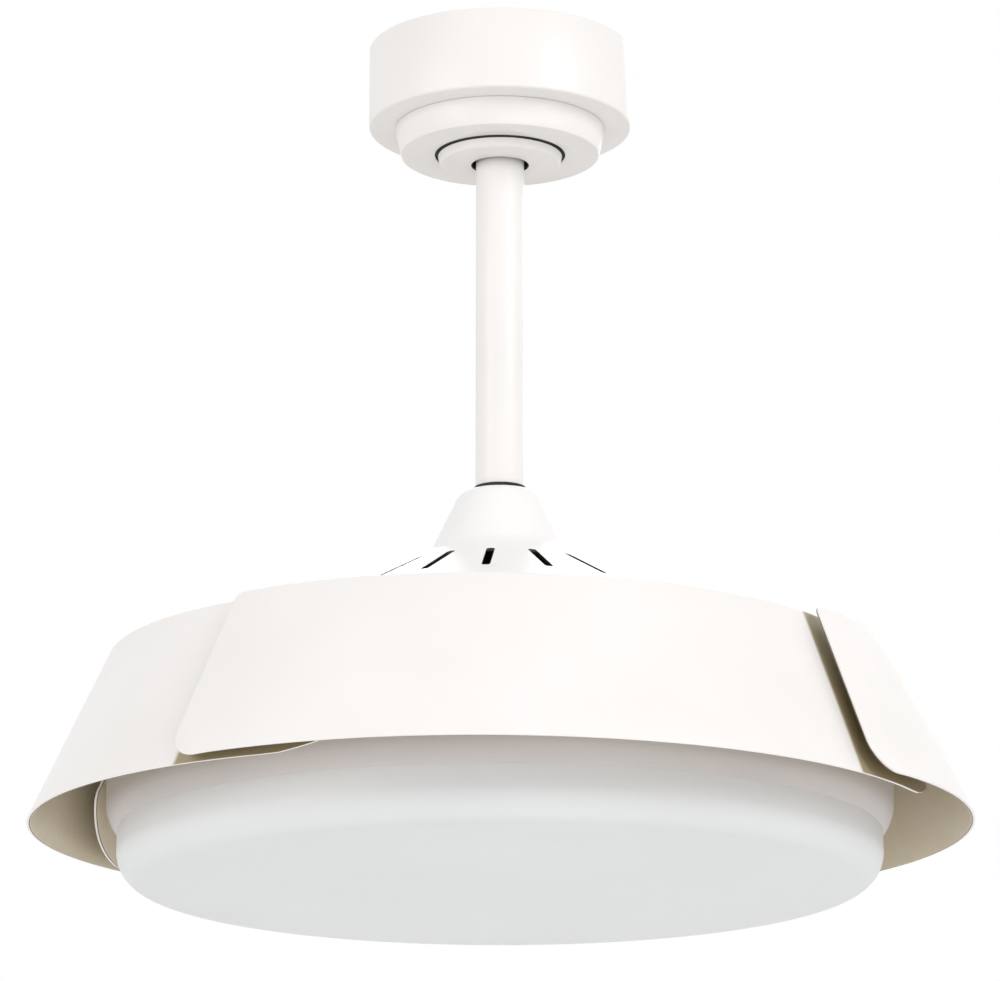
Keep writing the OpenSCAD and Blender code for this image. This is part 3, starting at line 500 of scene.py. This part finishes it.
def soft_corner(points, steps=4):
    """A profile in which a point (x, y, size) is rounded by about that size."""
    made = []
    for i, point in enumerate(points):
        here = Vector(point[:2])
        size = point[2] if len(point) > 2 else 0
        if not size:
            made.append(tuple(here))
            continue
        back = Vector(points[i - 1][:2]) - here
        ahead = Vector(points[(i + 1) % len(points)][:2]) - here
        first = here + back.normalized() * size
        last = here + ahead.normalized() * size
        for k in range(steps + 1):
            t = k / steps
            made.append(tuple((1 - t) ** 2 * first + 2 * t * (1 - t) * here + t * t * last))
    return made


def lathed(name, profile, steps, centre=(0, 0)):
    """A closed profile of (radius, height) turned round a vertical axis."""
    on_axis = 1e-6
    work = bmesh.new()
    rings = []
    for r, z in profile:
        if r < on_axis:
            rings.append([work.verts.new((centre[0] * mm, centre[1] * mm, z * mm))])
            continue
        turns = [i * math.tau / steps for i in range(steps)]
        rings.append([work.verts.new(((centre[0] + r * math.cos(a)) * mm,
                                      (centre[1] + r * math.sin(a)) * mm, z * mm)) for a in turns])
    for one, two in zip(rings, rings[1:] + rings[:1]):
        if len(one) == len(two) == 1:
            continue
        for i in range(steps):
            j = (i + 1) % steps
            if len(one) == 1:
                work.faces.new((one[0], two[j], two[i]))
            elif len(two) == 1:
                work.faces.new((one[i], one[j], two[0]))
            else:
                work.faces.new((one[i], one[j], two[j], two[i]))
    bmesh.ops.recalc_face_normals(work, faces=work.faces)
    return shade(meshed(name, work))


def joined(name, *meshes):
    """Several meshes as one, each with its own materials."""
    work = bmesh.new()
    materials = []
    for mesh in meshes:
        first = len(work.faces)
        work.from_mesh(mesh)
        work.faces.ensure_lookup_table()
        shift = len(materials)
        for face in work.faces[first:]:
            face.material_index += shift
        materials += list(mesh.materials)
    made = meshed(name, work)
    for material in materials:
        made.materials.append(material)
    return made


# --------------------------------------------- what repeats: geometry nodes

class Tree(Nodes):
    """A Geometry Nodes tree with named inputs for its sizes."""

    def __init__(self, name, **inputs):
        super().__init__(bpy.data.node_groups.new(name, "GeometryNodeTree"), "")
        face = self.tree.interface
        face.new_socket(name="Places", in_out="INPUT", socket_type="NodeSocketGeometry")
        face.new_socket(name="Made", in_out="OUTPUT", socket_type="NodeSocketGeometry")
        self.ids = {}
        for key, value in inputs.items():
            kind = "Material" if value is None else "Int" if isinstance(value, int) else "Float"
            socket = face.new_socket(name=key, in_out="INPUT", socket_type="NodeSocket" + kind)
            if value is not None:
                socket.default_value = value
            self.ids[key] = socket.identifier
        self.source = self.node("NodeGroupInput")
        self.out = self.node("NodeGroupOutput")

    def __getitem__(self, key):
        return self.source.outputs[key]

    def xyz(self, x=0.0, y=0.0, z=0.0):
        return self.node("ShaderNodeCombineXYZ", {0: x, 1: y, 2: z}).outputs[0]

    def block(self, x, y, z):
        return self.node("GeometryNodeMeshCube", {"Size": self.xyz(x, y, z)}).outputs["Mesh"]

    def together(self, *parts):
        return self.node("GeometryNodeJoinGeometry", {0: list(parts)}).outputs[0]

    def made_of(self, mesh, material):
        return self.node("GeometryNodeSetMaterial", {"Geometry": mesh, "Material": material}).outputs[0]

    def moved(self, mesh, x=0.0, y=0.0, z=0.0, **inputs):
        offset = self.xyz(x, y, z)
        return self.node("GeometryNodeTransform", {
            "Geometry": mesh, "Translation": offset, **inputs}).outputs[0]

    def point(self):
        """The parts of a point's position, its distance from the axis and its turn round it."""
        x, y, z = self.node("ShaderNodeSeparateXYZ", {
            0: self.node("GeometryNodeInputPosition").outputs[0]}).outputs
        distance = self.maths("SQRT", self.maths("ADD", self.times(x, x), self.times(y, y)))
        turn = self.maths("DIVIDE", self.maths("ARCTAN2", y, x), math.tau)
        return x, y, z, distance, turn

    def dome(self, radius, height, sides=24, share=0.5):
        """A head that stands on its seat at z = 0: a low rim and a crowned top."""
        disc = self.node("GeometryNodeMeshCylinder", {
            "Vertices": sides, "Fill Segments": 5, "Radius": radius, "Depth": height},
            fill_type="TRIANGLE_FAN").outputs["Mesh"]
        x, y, z, distance, turn = self.point()
        fall = self.maths("POWER", self.maths("DIVIDE", distance, radius), 2.5)
        drop = self.times(self.times(fall, height), -share)
        upper = self.maths("GREATER_THAN", z, 0.0)
        head = self.node("GeometryNodeSetPosition", {
            "Geometry": disc, "Selection": upper, "Offset": self.xyz(z=drop)}).outputs[0]
        return self.moved(head, z=self.times(height, 0.5))

    def stand(self, shape):
        """One copy of the shape at each place, turned to the place's axis."""
        axis = self.node("GeometryNodeInputNamedAttribute", {"Name": "axis"}, data_type="FLOAT_VECTOR")
        turn = self.node("FunctionNodeAlignRotationToVector", {"Vector": axis.outputs[0]}, axis="Z")
        return self.node("GeometryNodeInstanceOnPoints", {
            "Points": self["Places"], "Instance": shape, "Rotation": turn.outputs[0]}).outputs[0]

    def close(self, copies, material=None):
        """End the tree with the copies as one real mesh."""
        real = self.node("GeometryNodeRealizeInstances", {"Geometry": copies}).outputs[0]
        self.put(self.out.inputs[0], real if material is None else self.made_of(real, material))
        return self

    def grow(self, mesh, **values):
        """The mesh that this tree makes of the given places and sizes."""
        obj = placed(self.tree.name, mesh)
        made = obj.modifiers.new("made", "NODES")
        made.node_group = self.tree
        for key, value in values.items():
            made[self.ids[key]] = value
        return shade(settled(obj), 40)


def places(spots):
    """Points for a tree: each is a position in millimetres and the axis that the piece stands along."""
    mesh = bpy.data.meshes.new("places")
    mesh.from_pydata([tuple(c * mm for c in spot) for spot, axis in spots], [], [])
    axes = mesh.attributes.new("axis", "FLOAT_VECTOR", "POINT")
    for i, (spot, axis) in enumerate(spots):
        axes.data[i].vector = axis
    return mesh


def polar(count, radius, z, axis, first=0.0):
    """Places on a circle round the fan's axis."""
    turns = [math.radians(first + i * 360 / count) for i in range(count)]
    return [((radius * math.cos(a), radius * math.sin(a), z), axis) for a in turns]


def route(points):
    """An open line of edges through points in millimetres."""
    mesh = bpy.data.meshes.new("route")
    mesh.from_pydata([tuple(c * mm for c in p) for p in points],
                     [(i, i + 1) for i in range(len(points) - 1)], [])
    return mesh


def screw_tree():
    """Cross-recessed pan head on a threaded shank. The head looks along the axis, the shank runs back."""
    t = Tree("cross_recess_screw", head_radius=0.004, head_height=0.0025, shank_radius=0.002,
             shank_length=0.01, pitch=0.0008, recess=0.0042, finish=None)
    wing_share, recess_depth, thread_depth, rings_a_turn = 0.26, 1.2, 0.26, 3.0
    head = t.dome(t["head_radius"], t["head_height"])
    wing = t.times(t["recess"], wing_share)
    deep = t.times(t["head_height"], recess_depth)
    bars = [t.moved(t.block(x, y, deep), z=t["head_height"])
            for x, y in ((t["recess"], wing), (wing, t["recess"]))]
    cut = t.node("GeometryNodeMeshBoolean", {0: head, 1: bars}, operation="DIFFERENCE").outputs[0]
    rings = t.times(t.maths("DIVIDE", t["shank_length"], t["pitch"]), rings_a_turn)
    shank = t.node("GeometryNodeMeshCylinder", {
        "Vertices": 12, "Side Segments": rings, "Radius": t["shank_radius"], "Depth": t["shank_length"]})
    x, y, z, distance, turn = t.point()
    along = t.maths("ADD", t.maths("DIVIDE", z, t["pitch"]), turn)
    tooth = t.times(t.maths("PINGPONG", along, 0.5), -thread_depth)
    thread = t.node("GeometryNodeSetPosition", {
        "Geometry": shank.outputs["Mesh"], "Offset": t.xyz(t.times(x, tooth), t.times(y, tooth))}).outputs[0]
    thread = t.moved(thread, z=t.times(t["shank_length"], -0.5))
    return t.close(t.stand(t.together(cut, thread)), t["finish"])


def rivet_tree():
    """Domed rivet with its shank and its clinched end."""
    t = Tree("domed_rivet", head_radius=0.0036, head_height=0.0011, shank_radius=0.002,
             shank_length=0.0044, tail_radius=0.0026, finish=None)
    head = t.dome(t["head_radius"], t["head_height"], share=0.75)
    shank = t.node("GeometryNodeMeshCylinder", {
        "Vertices": 16, "Radius": t["shank_radius"], "Depth": t["shank_length"]}).outputs["Mesh"]
    shank = t.moved(shank, z=t.times(t["shank_length"], -0.5))
    tail = t.dome(t["tail_radius"], t.times(t["head_height"], 0.6), sides=16, share=0.8)
    tail = t.moved(tail, z=t.maths("SUBTRACT", 0.0, t["shank_length"]), Rotation=(math.pi, 0, 0))
    return t.close(t.stand(t.together(head, shank, tail)), t["finish"])


def chip_tree():
    """Light chip: a white housing with a low yellow lens and two solder ends."""
    t = Tree("light_chip", width=0.005, housing=0.0005, lens_radius=0.0019, lens_height=0.0003,
             white=None, yellow=None, tin=None)

    def part(x, y, z):
        """A block with its sides as shares of the chip's width and of the housing's height."""
        return t.block(t.times(t["width"], x), t.times(t["width"], y), t.times(t["housing"], z))

    box = t.made_of(t.moved(part(0.84, 1.0, 1.0), z=t.times(t["housing"], 0.5)), t["white"])
    lens = t.moved(t.dome(t["lens_radius"], t["lens_height"], share=0.9), z=t["housing"])
    ends = [t.moved(part(0.08, 0.7, 0.6), x=t.times(t["width"], side), z=t.times(t["housing"], 0.3))
            for side in (-0.46, 0.46)]
    whole = t.together(box, t.made_of(lens, t["yellow"]), t.made_of(t.together(*ends), t["tin"]))
    return t.close(t.stand(whole))


def wire_tree():
    """Wire of one thickness along a route, repeated round the fan's axis."""
    t = Tree("wound_wire", wire_radius=0.001, sides=8, copies=4, finish=None)
    line = t.node("GeometryNodeMeshToCurve", {"Mesh": t["Places"]}).outputs[0]
    ring = t.node("GeometryNodeCurvePrimitiveCircle", {"Resolution": t["sides"], "Radius": t["wire_radius"]})
    wire = t.node("GeometryNodeCurveToMesh", {
        "Curve": line, "Profile Curve": ring.outputs["Curve"], "Fill Caps": True}).outputs[0]
    spots = t.node("GeometryNodePoints", {"Count": t["copies"]}).outputs[0]
    index = t.node("GeometryNodeInputIndex").outputs[0]
    turn = t.xyz(z=t.times(index, t.maths("DIVIDE", math.tau, t["copies"])))
    copies = t.node("GeometryNodeInstanceOnPoints", {"Points": spots, "Instance": wire, "Rotation": turn})
    return t.close(copies.outputs[0], t["finish"])


# --------------------------------------------------------------------- blades

def blade_place(number):
    """From a blade's own frame to the fan's, as in the construction, in millimetres."""
    middle = math.radians(tip_angle + blade_span / 2)
    away = math.radians(offset_angle)
    shift = Vector((blade_offset * math.cos(away), blade_offset * math.sin(away), blade_bottom))
    tilt = Matrix.Rotation(middle, 4, "Z") @ Matrix.Rotation(math.radians(-blade_tilt), 4, "X")
    return (Matrix.Rotation(math.radians(90 * (number - 1)), 4, "Z") @ Matrix.Translation(shift)
            @ tilt @ Matrix.Rotation(-middle, 4, "Z"))


def on_blade(x, y, face):
    """Own angle and height of the skin point at x along and y up the flat face at an angle."""
    turn, height = 0.0, y * math.cos(lean)
    rounds = 20
    for _ in range(rounds):
        r = blade_r - height * math.tan(lean)
        turn = math.asin(max(-1, min(1, x / r)))
        height = (y + (r * math.cos(turn) - blade_r) * math.sin(lean)) / math.cos(lean)
    return math.radians(face) + turn, height


def blade_outline():
    """Lower and upper edge of a blade from its tip to its tail, as pairs at the same place."""
    c = tip_corner
    low = []
    for phi in (0, 9, 18, 27, 36, 42, 47.8, 51.4, 55.6, 60.8, 66.1, 71.7, 78, 84, 90):
        a = math.radians(phi)
        low.append(on_blade(c * (1 - math.cos(a)), c * (1 - math.sin(a)), tip_angle))

    # The cut counts from where it leaves the lower edge to just short of the tail's end
    cut_steps, edge_steps, least_rise, end_gap = 28, 44, 0.15, 0.004
    half = tail_cut_l / 2
    face = tail_angle - math.degrees(math.atan(half / blade_r))
    cut_x = [-half + tail_cut_l * i / cut_steps for i in range(cut_steps + 1)]
    cut = [on_blade(x, tail_cut_h * ((x + half) / tail_cut_l) ** 2, face) for x in cut_x]
    end = math.radians(tail_angle)
    cut = [p for p in cut if p[1] > least_rise and p[0] < end - end_gap]
    start, stop = low[-1][0], cut[0][0]
    low += [(start + (stop - start) * i / edge_steps, 0.0) for i in range(1, edge_steps)]
    low += cut
    end_r, end_share = 228, 0.985
    last = on_blade(math.sin(end - math.radians(face)) * end_r, tail_cut_h * end_share, face)
    low.append((end, last[1]))

    top_y = slope_l - tip_top_corner
    top_x = tip_slant + tip_top_corner
    over_top = slope_l + 9

    def tip_edge(x):
        """How far up the flat face the tip's outline is at x along it."""
        if x < tip_slant:
            return c + x * (top_y - c) / tip_slant
        if x < top_x:
            return top_y + math.sqrt(tip_top_corner ** 2 - (top_x - x) ** 2)
        return over_top

    # Near the tip its outline cuts the upper edge down
    high = []
    tip_reach, rounds = 0.2, 30
    for turn, height in low:
        top = blade_h
        from_tip = turn - math.radians(tip_angle)
        for _ in range(rounds if from_tip < tip_reach else 0):
            r = blade_r - top * math.tan(lean)
            y = tip_edge(r * math.sin(from_tip))
            found = (y + (r * math.cos(from_tip) - blade_r) * math.sin(lean)) / math.cos(lean)
            top = (top + min(found, blade_h)) / 2
        high.append((turn, max(top, height)))
    return low, high


def blade_sheet(number):
    """Curved sheet with its edge rounded all round, and each point's depth below the skin."""
    low, high = blade_outline()
    ease = 0.55
    place = blade_place(number)
    inset = blade_t / math.cos(lean)
    work = bmesh.new()
    layer = work.verts.layers.float.new("depth")

    def point(turn, height, depth):
        r = blade_r - height * math.tan(lean) - inset * depth
        v = work.verts.new(place @ Vector((r * math.cos(turn), r * math.sin(turn), height)) * mm)
        v[layer] = depth
        return v

    # The outline as one loop, and the same loop drawn in by the edge's rounding. A point moves
    # in further at a corner, up to a limit
    corner_limit = 0.6
    loop = low + high[:0:-1]
    flat = [(turn * (blade_r - height * math.tan(lean)), height / math.cos(lean)) for turn, height in loop]
    drawn = []
    for i, (x, y) in enumerate(flat):
        back = Vector((x, y)) - Vector(flat[i - 1])
        ahead = Vector(flat[(i + 1) % len(flat)]) - Vector((x, y))
        back.normalize()
        ahead.normalize()
        inward = Vector((-back.y - ahead.y, back.x + ahead.x))
        inward *= 2 / max(corner_limit, inward.length_squared)
        x, y = x + ease * inward.x, y + ease * inward.y
        height = y * math.cos(lean)
        drawn.append((x / (blade_r - height * math.tan(lean)), height))

    def toward(here, there, share, depth):
        return point(here[0] + (there[0] - here[0]) * share, here[1] + (there[1] - here[1]) * share, depth)

    def between(share, depth):
        return [toward(inner, outer, share, depth) for inner, outer in zip(drawn, loop)]

    # The edge, from the outer skin to the inner: out along the rounding, level, and back in
    part = ease / blade_t
    bends = [(0, 0), (0.38, 0.08), (0.71, 0.29), (0.92, 0.62), (1, 1)]
    rows = [between(s, d * part) for s, d in bends]
    rows += [between(1, 0.5), between(1, (coats_from + coats_to) / 2)]
    rows += [between(s, 1 - d * part) for s, d in reversed(bends)]
    size = len(loop)
    for one, two in zip(rows, rows[1:]):
        for i in range(size):
            j = (i + 1) % size
            work.faces.new((one[i], one[j], two[j], two[i]))

    # Both skins: columns from the lower to the upper edge
    steps = 8
    for row, depth in ((rows[0], 0.0), (rows[-1], 1.0)):
        columns = []
        for i in range(len(low)):
            top = (size - i) % size
            column = [toward(drawn[i], drawn[top], k / steps, depth) for k in range(1, steps)]
            columns.append([row[i], *column, row[top]])
        for one, two in zip(columns, columns[1:]):
            for k in range(steps):
                corners = [one[k], two[k], two[k + 1], one[k + 1]]
                corners = [v for n, v in enumerate(corners) if v not in corners[:n]]
                if len(corners) > 2:
                    work.faces.new(corners)
    bmesh.ops.remove_doubles(work, verts=work.verts, dist=0.000001)
    bmesh.ops.recalc_face_normals(work, faces=work.faces)
    return shade(meshed(f"blade_sheet_{number}", work), 50)


def blade_rivet_spots(number):
    """Places of the rivets on a blade's skin, and the way out of it."""
    place = blade_place(number)
    spots = []
    for k in range(3):
        turn = math.radians(flange_start + flange_span * (rivet_first + rivet_step * k))
        up = slope_l - rivet_down
        r, height = blade_r - up * math.sin(lean), up * math.cos(lean)
        out = Vector((math.cos(lean) * math.cos(turn), math.cos(lean) * math.sin(turn), math.sin(lean)))
        spot = place @ Vector((r * math.cos(turn), r * math.sin(turn), height))
        spots.append((tuple(spot), tuple(place.to_3x3() @ out)))
    return spots


# ----------------------------------------------------------------------- lamp

def diffuser_dish():
    """Opal dish with a soft shoulder, a crowned face, its neck and its three lugs."""
    r, w = diffuser_r, lamp_wall
    edge = r - diffuser_round
    low = diffuser_bottom
    neck_top = diffuser_top + neck_h
    seam = lamp_bottom - 0.03

    def arc(radius, a, b, n):
        turns = [math.radians(a + (b - a) * i / n) for i in range(n + 1)]
        return [(edge + radius * math.cos(t), low + diffuser_round + radius * math.sin(t)) for t in turns]

    crown_steps = 14
    face = [edge * (1 - i / crown_steps) for i in range(1, crown_steps + 1)]
    crown = [(x, low - diffuser_crown * (1 - (x / edge) ** 2)) for x in face]
    profile = soft_corner([(neck_r, neck_top, 0.4), (neck_r, seam), (r, seam, 0.7)], 5)
    profile += arc(diffuser_round, 0, -90, 24) + crown
    profile += [(x, z + w) for x, z in reversed(crown)]
    profile += arc(diffuser_round - w, -90, 0, 16)
    profile += [(r - w, diffuser_top - w), (neck_r - w, diffuser_top - w), (neck_r - w, neck_top)]
    dish = lathed("diffuser_dish", profile, 240)

    # Each lug grows a little thinner towards its end
    root, tip, steps = neck_r - 1, neck_r + lug_reach, 8
    section = ((root, lug_z + 0.1), (tip, lug_z + 0.3), (tip, lug_z + 1.9), (root, lug_z + 2.1))
    work = bmesh.new()
    for lug in range(3):
        rows = []
        for i in range(steps + 1):
            a = math.radians(120 * lug - lug_angle / 2 + lug_angle * i / steps)
            rows.append([work.verts.new((x * math.cos(a) * mm, x * math.sin(a) * mm, z * mm))
                         for x, z in section])
        for one, two in zip(rows, rows[1:]):
            for k in range(4):
                work.faces.new((one[k], one[(k + 1) % 4], two[(k + 1) % 4], two[k]))
        work.faces.new(rows[0])
        work.faces.new(rows[-1])
    bmesh.ops.recalc_face_normals(work, faces=work.faces)
    return joined("diffuser_dish", dish, meshed("lugs", work))


# ---------------------------------------------------------------------- motor

def coil_route():
    """One winding round its tooth: turn beside turn round a rounded oblong."""
    half_y, half_z, corner = 5.85, 12.3, 2.4
    first_x, length, turns = 30.2, 21.6, 9
    once = []
    for y, z, start in ((1, -1, -90), (1, 1, 0), (-1, 1, 90), (-1, -1, 180)):
        for i in range(4):
            a = math.radians(start + 30 * i)
            once.append((y * (half_y - corner) + corner * math.cos(a),
                         motor_mid + (z * (half_z - corner) + corner * math.sin(a))))
    count = turns * len(once)
    return [(first_x + length * i / count, *once[i % len(once)]) for i in range(count + 1)]


def spring_route():
    """A return spring at its pin: a leg in the lower plate, the turns, and a leg in the arm's groove."""
    r, height, play = 9, 10.2, 0.8
    turns, steps = 3.5, 84
    rise = height - spring_wire - play
    points = [(-r, 0, -2.2), (-r, 0, -0.9), (-r, 0, 0.2)]
    for i in range(steps + 1):
        a = math.radians(180 + turns * 360 * i / steps)
        points.append((r * math.cos(a), r * math.sin(a), spring_wire + rise * i / steps))
    points += [(r, 0, height + 0.4), (r, 0, height + 2.4)]
    return [(pivot_dist + x, y, lower_z + z) for x, y, z in points]


# ------------------------------------------------------------------ assembling

def blades():
    rivet = rivet_tree()
    for number in (1, 2, 3, 4):
        piece(f"blade_sheet_{number}", blade_sheet(number), f"blade_{number}")
        mesh = rivet.grow(places(blade_rivet_spots(number)), finish=FINISHES["screw_steel"])
        piece(f"blade_domed_rivets_{number}", mesh, f"blade_rivets_{number}")


def fasteners():
    screw = screw_tree()
    up, down = (0, 0, 1), (0, 0, -1)

    def screws(spots, length, **sizes):
        return screw.grow(places(spots), shank_length=length * mm, finish=FINISHES["screw_steel"], **sizes)

    sides = [((x, 0, canopy_screw_z), down) for x in (-canopy_screw_x, canopy_screw_x)]
    piece("canopy_cross_screws", screws(sides, 12), "canopy_screws")
    flange = screws(polar(4, flange_bolt_r, flange_screw_z, up, 45), 8)
    lamp = screws(polar(3, light_bolt_r, lamp_top - lamp_wall, down, 90), 8.8)
    piece("flange_and_lamp_screws", joined("flange_and_lamp_screws", flange, lamp), "pan_screws")
    through = screws(polar(6, rotor_bolt_r, motor_bottom, down), 54, pitch=1.2 * mm)
    hub = screws(polar(8, hub_bolt_r, hub_z, up, 22.5), 6, head_height=2 * mm)
    piece("motor_and_hub_screws", joined("motor_and_hub_screws", through, hub), "rotor_screws")


def lamp_and_motor():
    piece("diffuser_dish", diffuser_dish(), "diffuser")
    chips = []
    for ring in range(3):
        chips += polar(chips_per_ring, chip_ring_r + chip_ring_step * ring, board_face, (0, 0, -1),
                       ring * 120 / chips_per_ring)
    mesh = chip_tree().grow(places(chips), white=FINISHES["board_white"], yellow=FINISHES["chip_yellow"],
                            tin=FINISHES["screw_steel"])
    piece("light_chips", mesh, "led_chips")
    wire = wire_tree()
    mesh = wire.grow(route(coil_route()), wire_radius=coil_wire / 2 * mm, sides=8, copies=12,
                     finish=FINISHES["coil_copper"])
    piece("stator_windings", mesh, "stator_coils")
    mesh = wire.grow(route(spring_route()), wire_radius=spring_wire / 2 * mm, sides=10, copies=4,
                     finish=FINISHES["spring_steel"])
    piece("return_spring_coils", mesh, "return_springs")


def cable():
    """Jacket cut back from its three cores, at the top of the rod."""
    core_r, core_dist = 1.3, 1.7
    y = rod_r - rod_wall - cable_r - seat_gap

    def run(name, finish, r, top, end, ease, steps, spot):
        mesh = lathed(name, soft_corner([(0, top), (r, top, ease), (r, end), (0, end)]), steps, spot)
        mesh.materials.append(FINISHES[finish])
        return mesh

    runs = [run("jacket", "cable_jacket", cable_r, -12, -304, 0.5, 32, (0, y))]
    for turn, finish in ((90, "core_brown"), (210, "core_blue"), (330, "core_green")):
        a = math.radians(turn)
        spot = (core_dist * math.cos(a), y + core_dist * math.sin(a))
        runs.append(run("core", finish, core_r, -8, -14, 0.3, 16, spot))
    piece("supply_cable_cores", joined("supply_cable_cores", *runs), "supply_cable")


def grommet():
    """Rubber ring at the bell's top, with a rolled lip; its near-black rubber also stands in for the shadow
    in the gap round the rod, as painted shade.
    """
    bore, lip, foot = rod_r + 0.05, rod_r + 0.95, rod_r + 1.2
    top, bottom = bell_top + 2.8, bell_top - 1.9
    profile = [(bore, top, 0.3), (lip, top, 0.4), (lip, bell_top, 0.1),
               (foot, bell_top, 0.1), (foot, bottom, 0.2), (bore, bottom, 0.2)]
    piece("rubber_grommet", lathed("rubber_grommet", soft_corner(profile, 3), 96), "cover_grommet")


blades()
fasteners()
lamp_and_motor()
cable()
grommet()
for name, width in (
    ("canopy", 0.35), ("canopy_screw_cover", 0.45), ("canopy_ring", 0.3), ("coupling_cover", 0.3),
    ("light_pan", 0.4), ("hub_cover", 0.35), ("mounting_bracket", 0.35), ("receiver", 2.0),
    ("terminal_block", 0.6), ("led_driver", 1.5), ("downrod", 0.3), ("motor_coupling", 0.4),
    ("rotor_top_shell", 0.6), ("rotor_bottom_shell", 0.6), ("hub_plate", 0.3), ("lower_plate", 0.3),
    ("light_mount_plate", 0.3), ("hanger_ball", 0.4), ("shaft_nut", 0.5), ("ring_retainer", 0.2),
    ("pivot_pins", 0.3), ("plate_posts", 0.3), ("motor_shaft", 0.3), ("sync_ring", 0.25),
    ("blade_gear_1", 0.25), ("blade_gear_2", 0.25), ("blade_gear_3", 0.25), ("blade_gear_4", 0.25),
):
    eased(name, width)


# ------------------------------------------------------- room, lamps and camera

def room():
    """Pale floor far below, white to the camera, and the soft lamps."""
    half, floor_z = 6.0, -2.6
    mesh = bpy.data.meshes.new("floor")
    mesh.from_pydata([(x * half, y * half, floor_z) for x, y in ((-1, -1), (1, -1), (1, 1), (-1, 1))],
                     [], [(0, 1, 2, 3)])
    floor = placed("floor", mesh)
    f = Finish("floor_pale")
    f.set(Base_Color=f.mix(f.noise(2), colour("f2f1ef"), colour("eeedea")), Roughness=0.8)
    glow = f.node("Emission", {"Color": (1, 1, 1, 1), "Strength": 1.0})
    lit = f.node("MixShader", {0: f.background_rays(), 1: f.shader.outputs["BSDF"], 2: glow.outputs[0]})
    below = f.node("NewGeometry").outputs["Backfacing"]
    both = f.node("MixShader", {0: below, 1: lit.outputs[0], 2: f.node("BsdfTransparent").outputs[0]})
    f.put(f.out.inputs["Surface"], both.outputs[0])
    mesh.materials.append(f.material)

    world = bpy.data.worlds.new("studio")
    bpy.context.scene.world = world
    world.use_nodes = True
    sky = Nodes(world.node_tree, "ShaderNode")
    soft = sky.node("Background", {"Color": (1.0, 0.995, 1.0, 1), "Strength": 0.65})
    plain = sky.node("Background", {"Color": (1, 1, 1, 1)})
    both = sky.node("MixShader", {0: sky.background_rays(), 1: soft.outputs[0], 2: plain.outputs[0]})
    sky.node("OutputWorld", {"Surface": both.outputs[0]})

    aim = Vector((0, 0, -0.3))
    for name, spot, size, power in (
        ("lamp_right", (2.6, -2.0, 0.9), 1.8, 38),
        ("lamp_left", (-2.6, -2.0, 0.2), 1.8, 26),
        ("lamp_back", (0.4, 2.9, 1.2), 1.8, 30),
        ("lamp_front", (0.9, -2.9, -1.3), 1.4, 8),
        ("lamp_below", (0.0, -0.3, -1.9), 0.9, 1.8),
    ):
        data = bpy.data.lights.new(name, "AREA")
        data.shape = "DISK"
        data.size = size
        data.energy = power
        lamp = placed(name, data)
        lamp.location = spot
        lamp.rotation_euler = (aim - Vector(spot)).to_track_quat("-Z", "Y").to_euler()


def camera():
    """The photograph's viewpoint: in front of the fan, below it and looking a little up."""
    pitch = 14.453
    data = bpy.data.cameras.new("camera")
    data.lens = 172.53
    data.sensor_width = 36
    data.clip_end = 50
    data.dof.use_dof = False
    eye = placed("camera", data)
    eye.location = (0, -2.5377, -0.9077)
    eye.rotation_euler = (math.radians(90 + pitch), 0, 0)
    bpy.context.scene.camera = eye


camera()
room()
bpy.context.scene.view_settings.view_transform = "Standard"
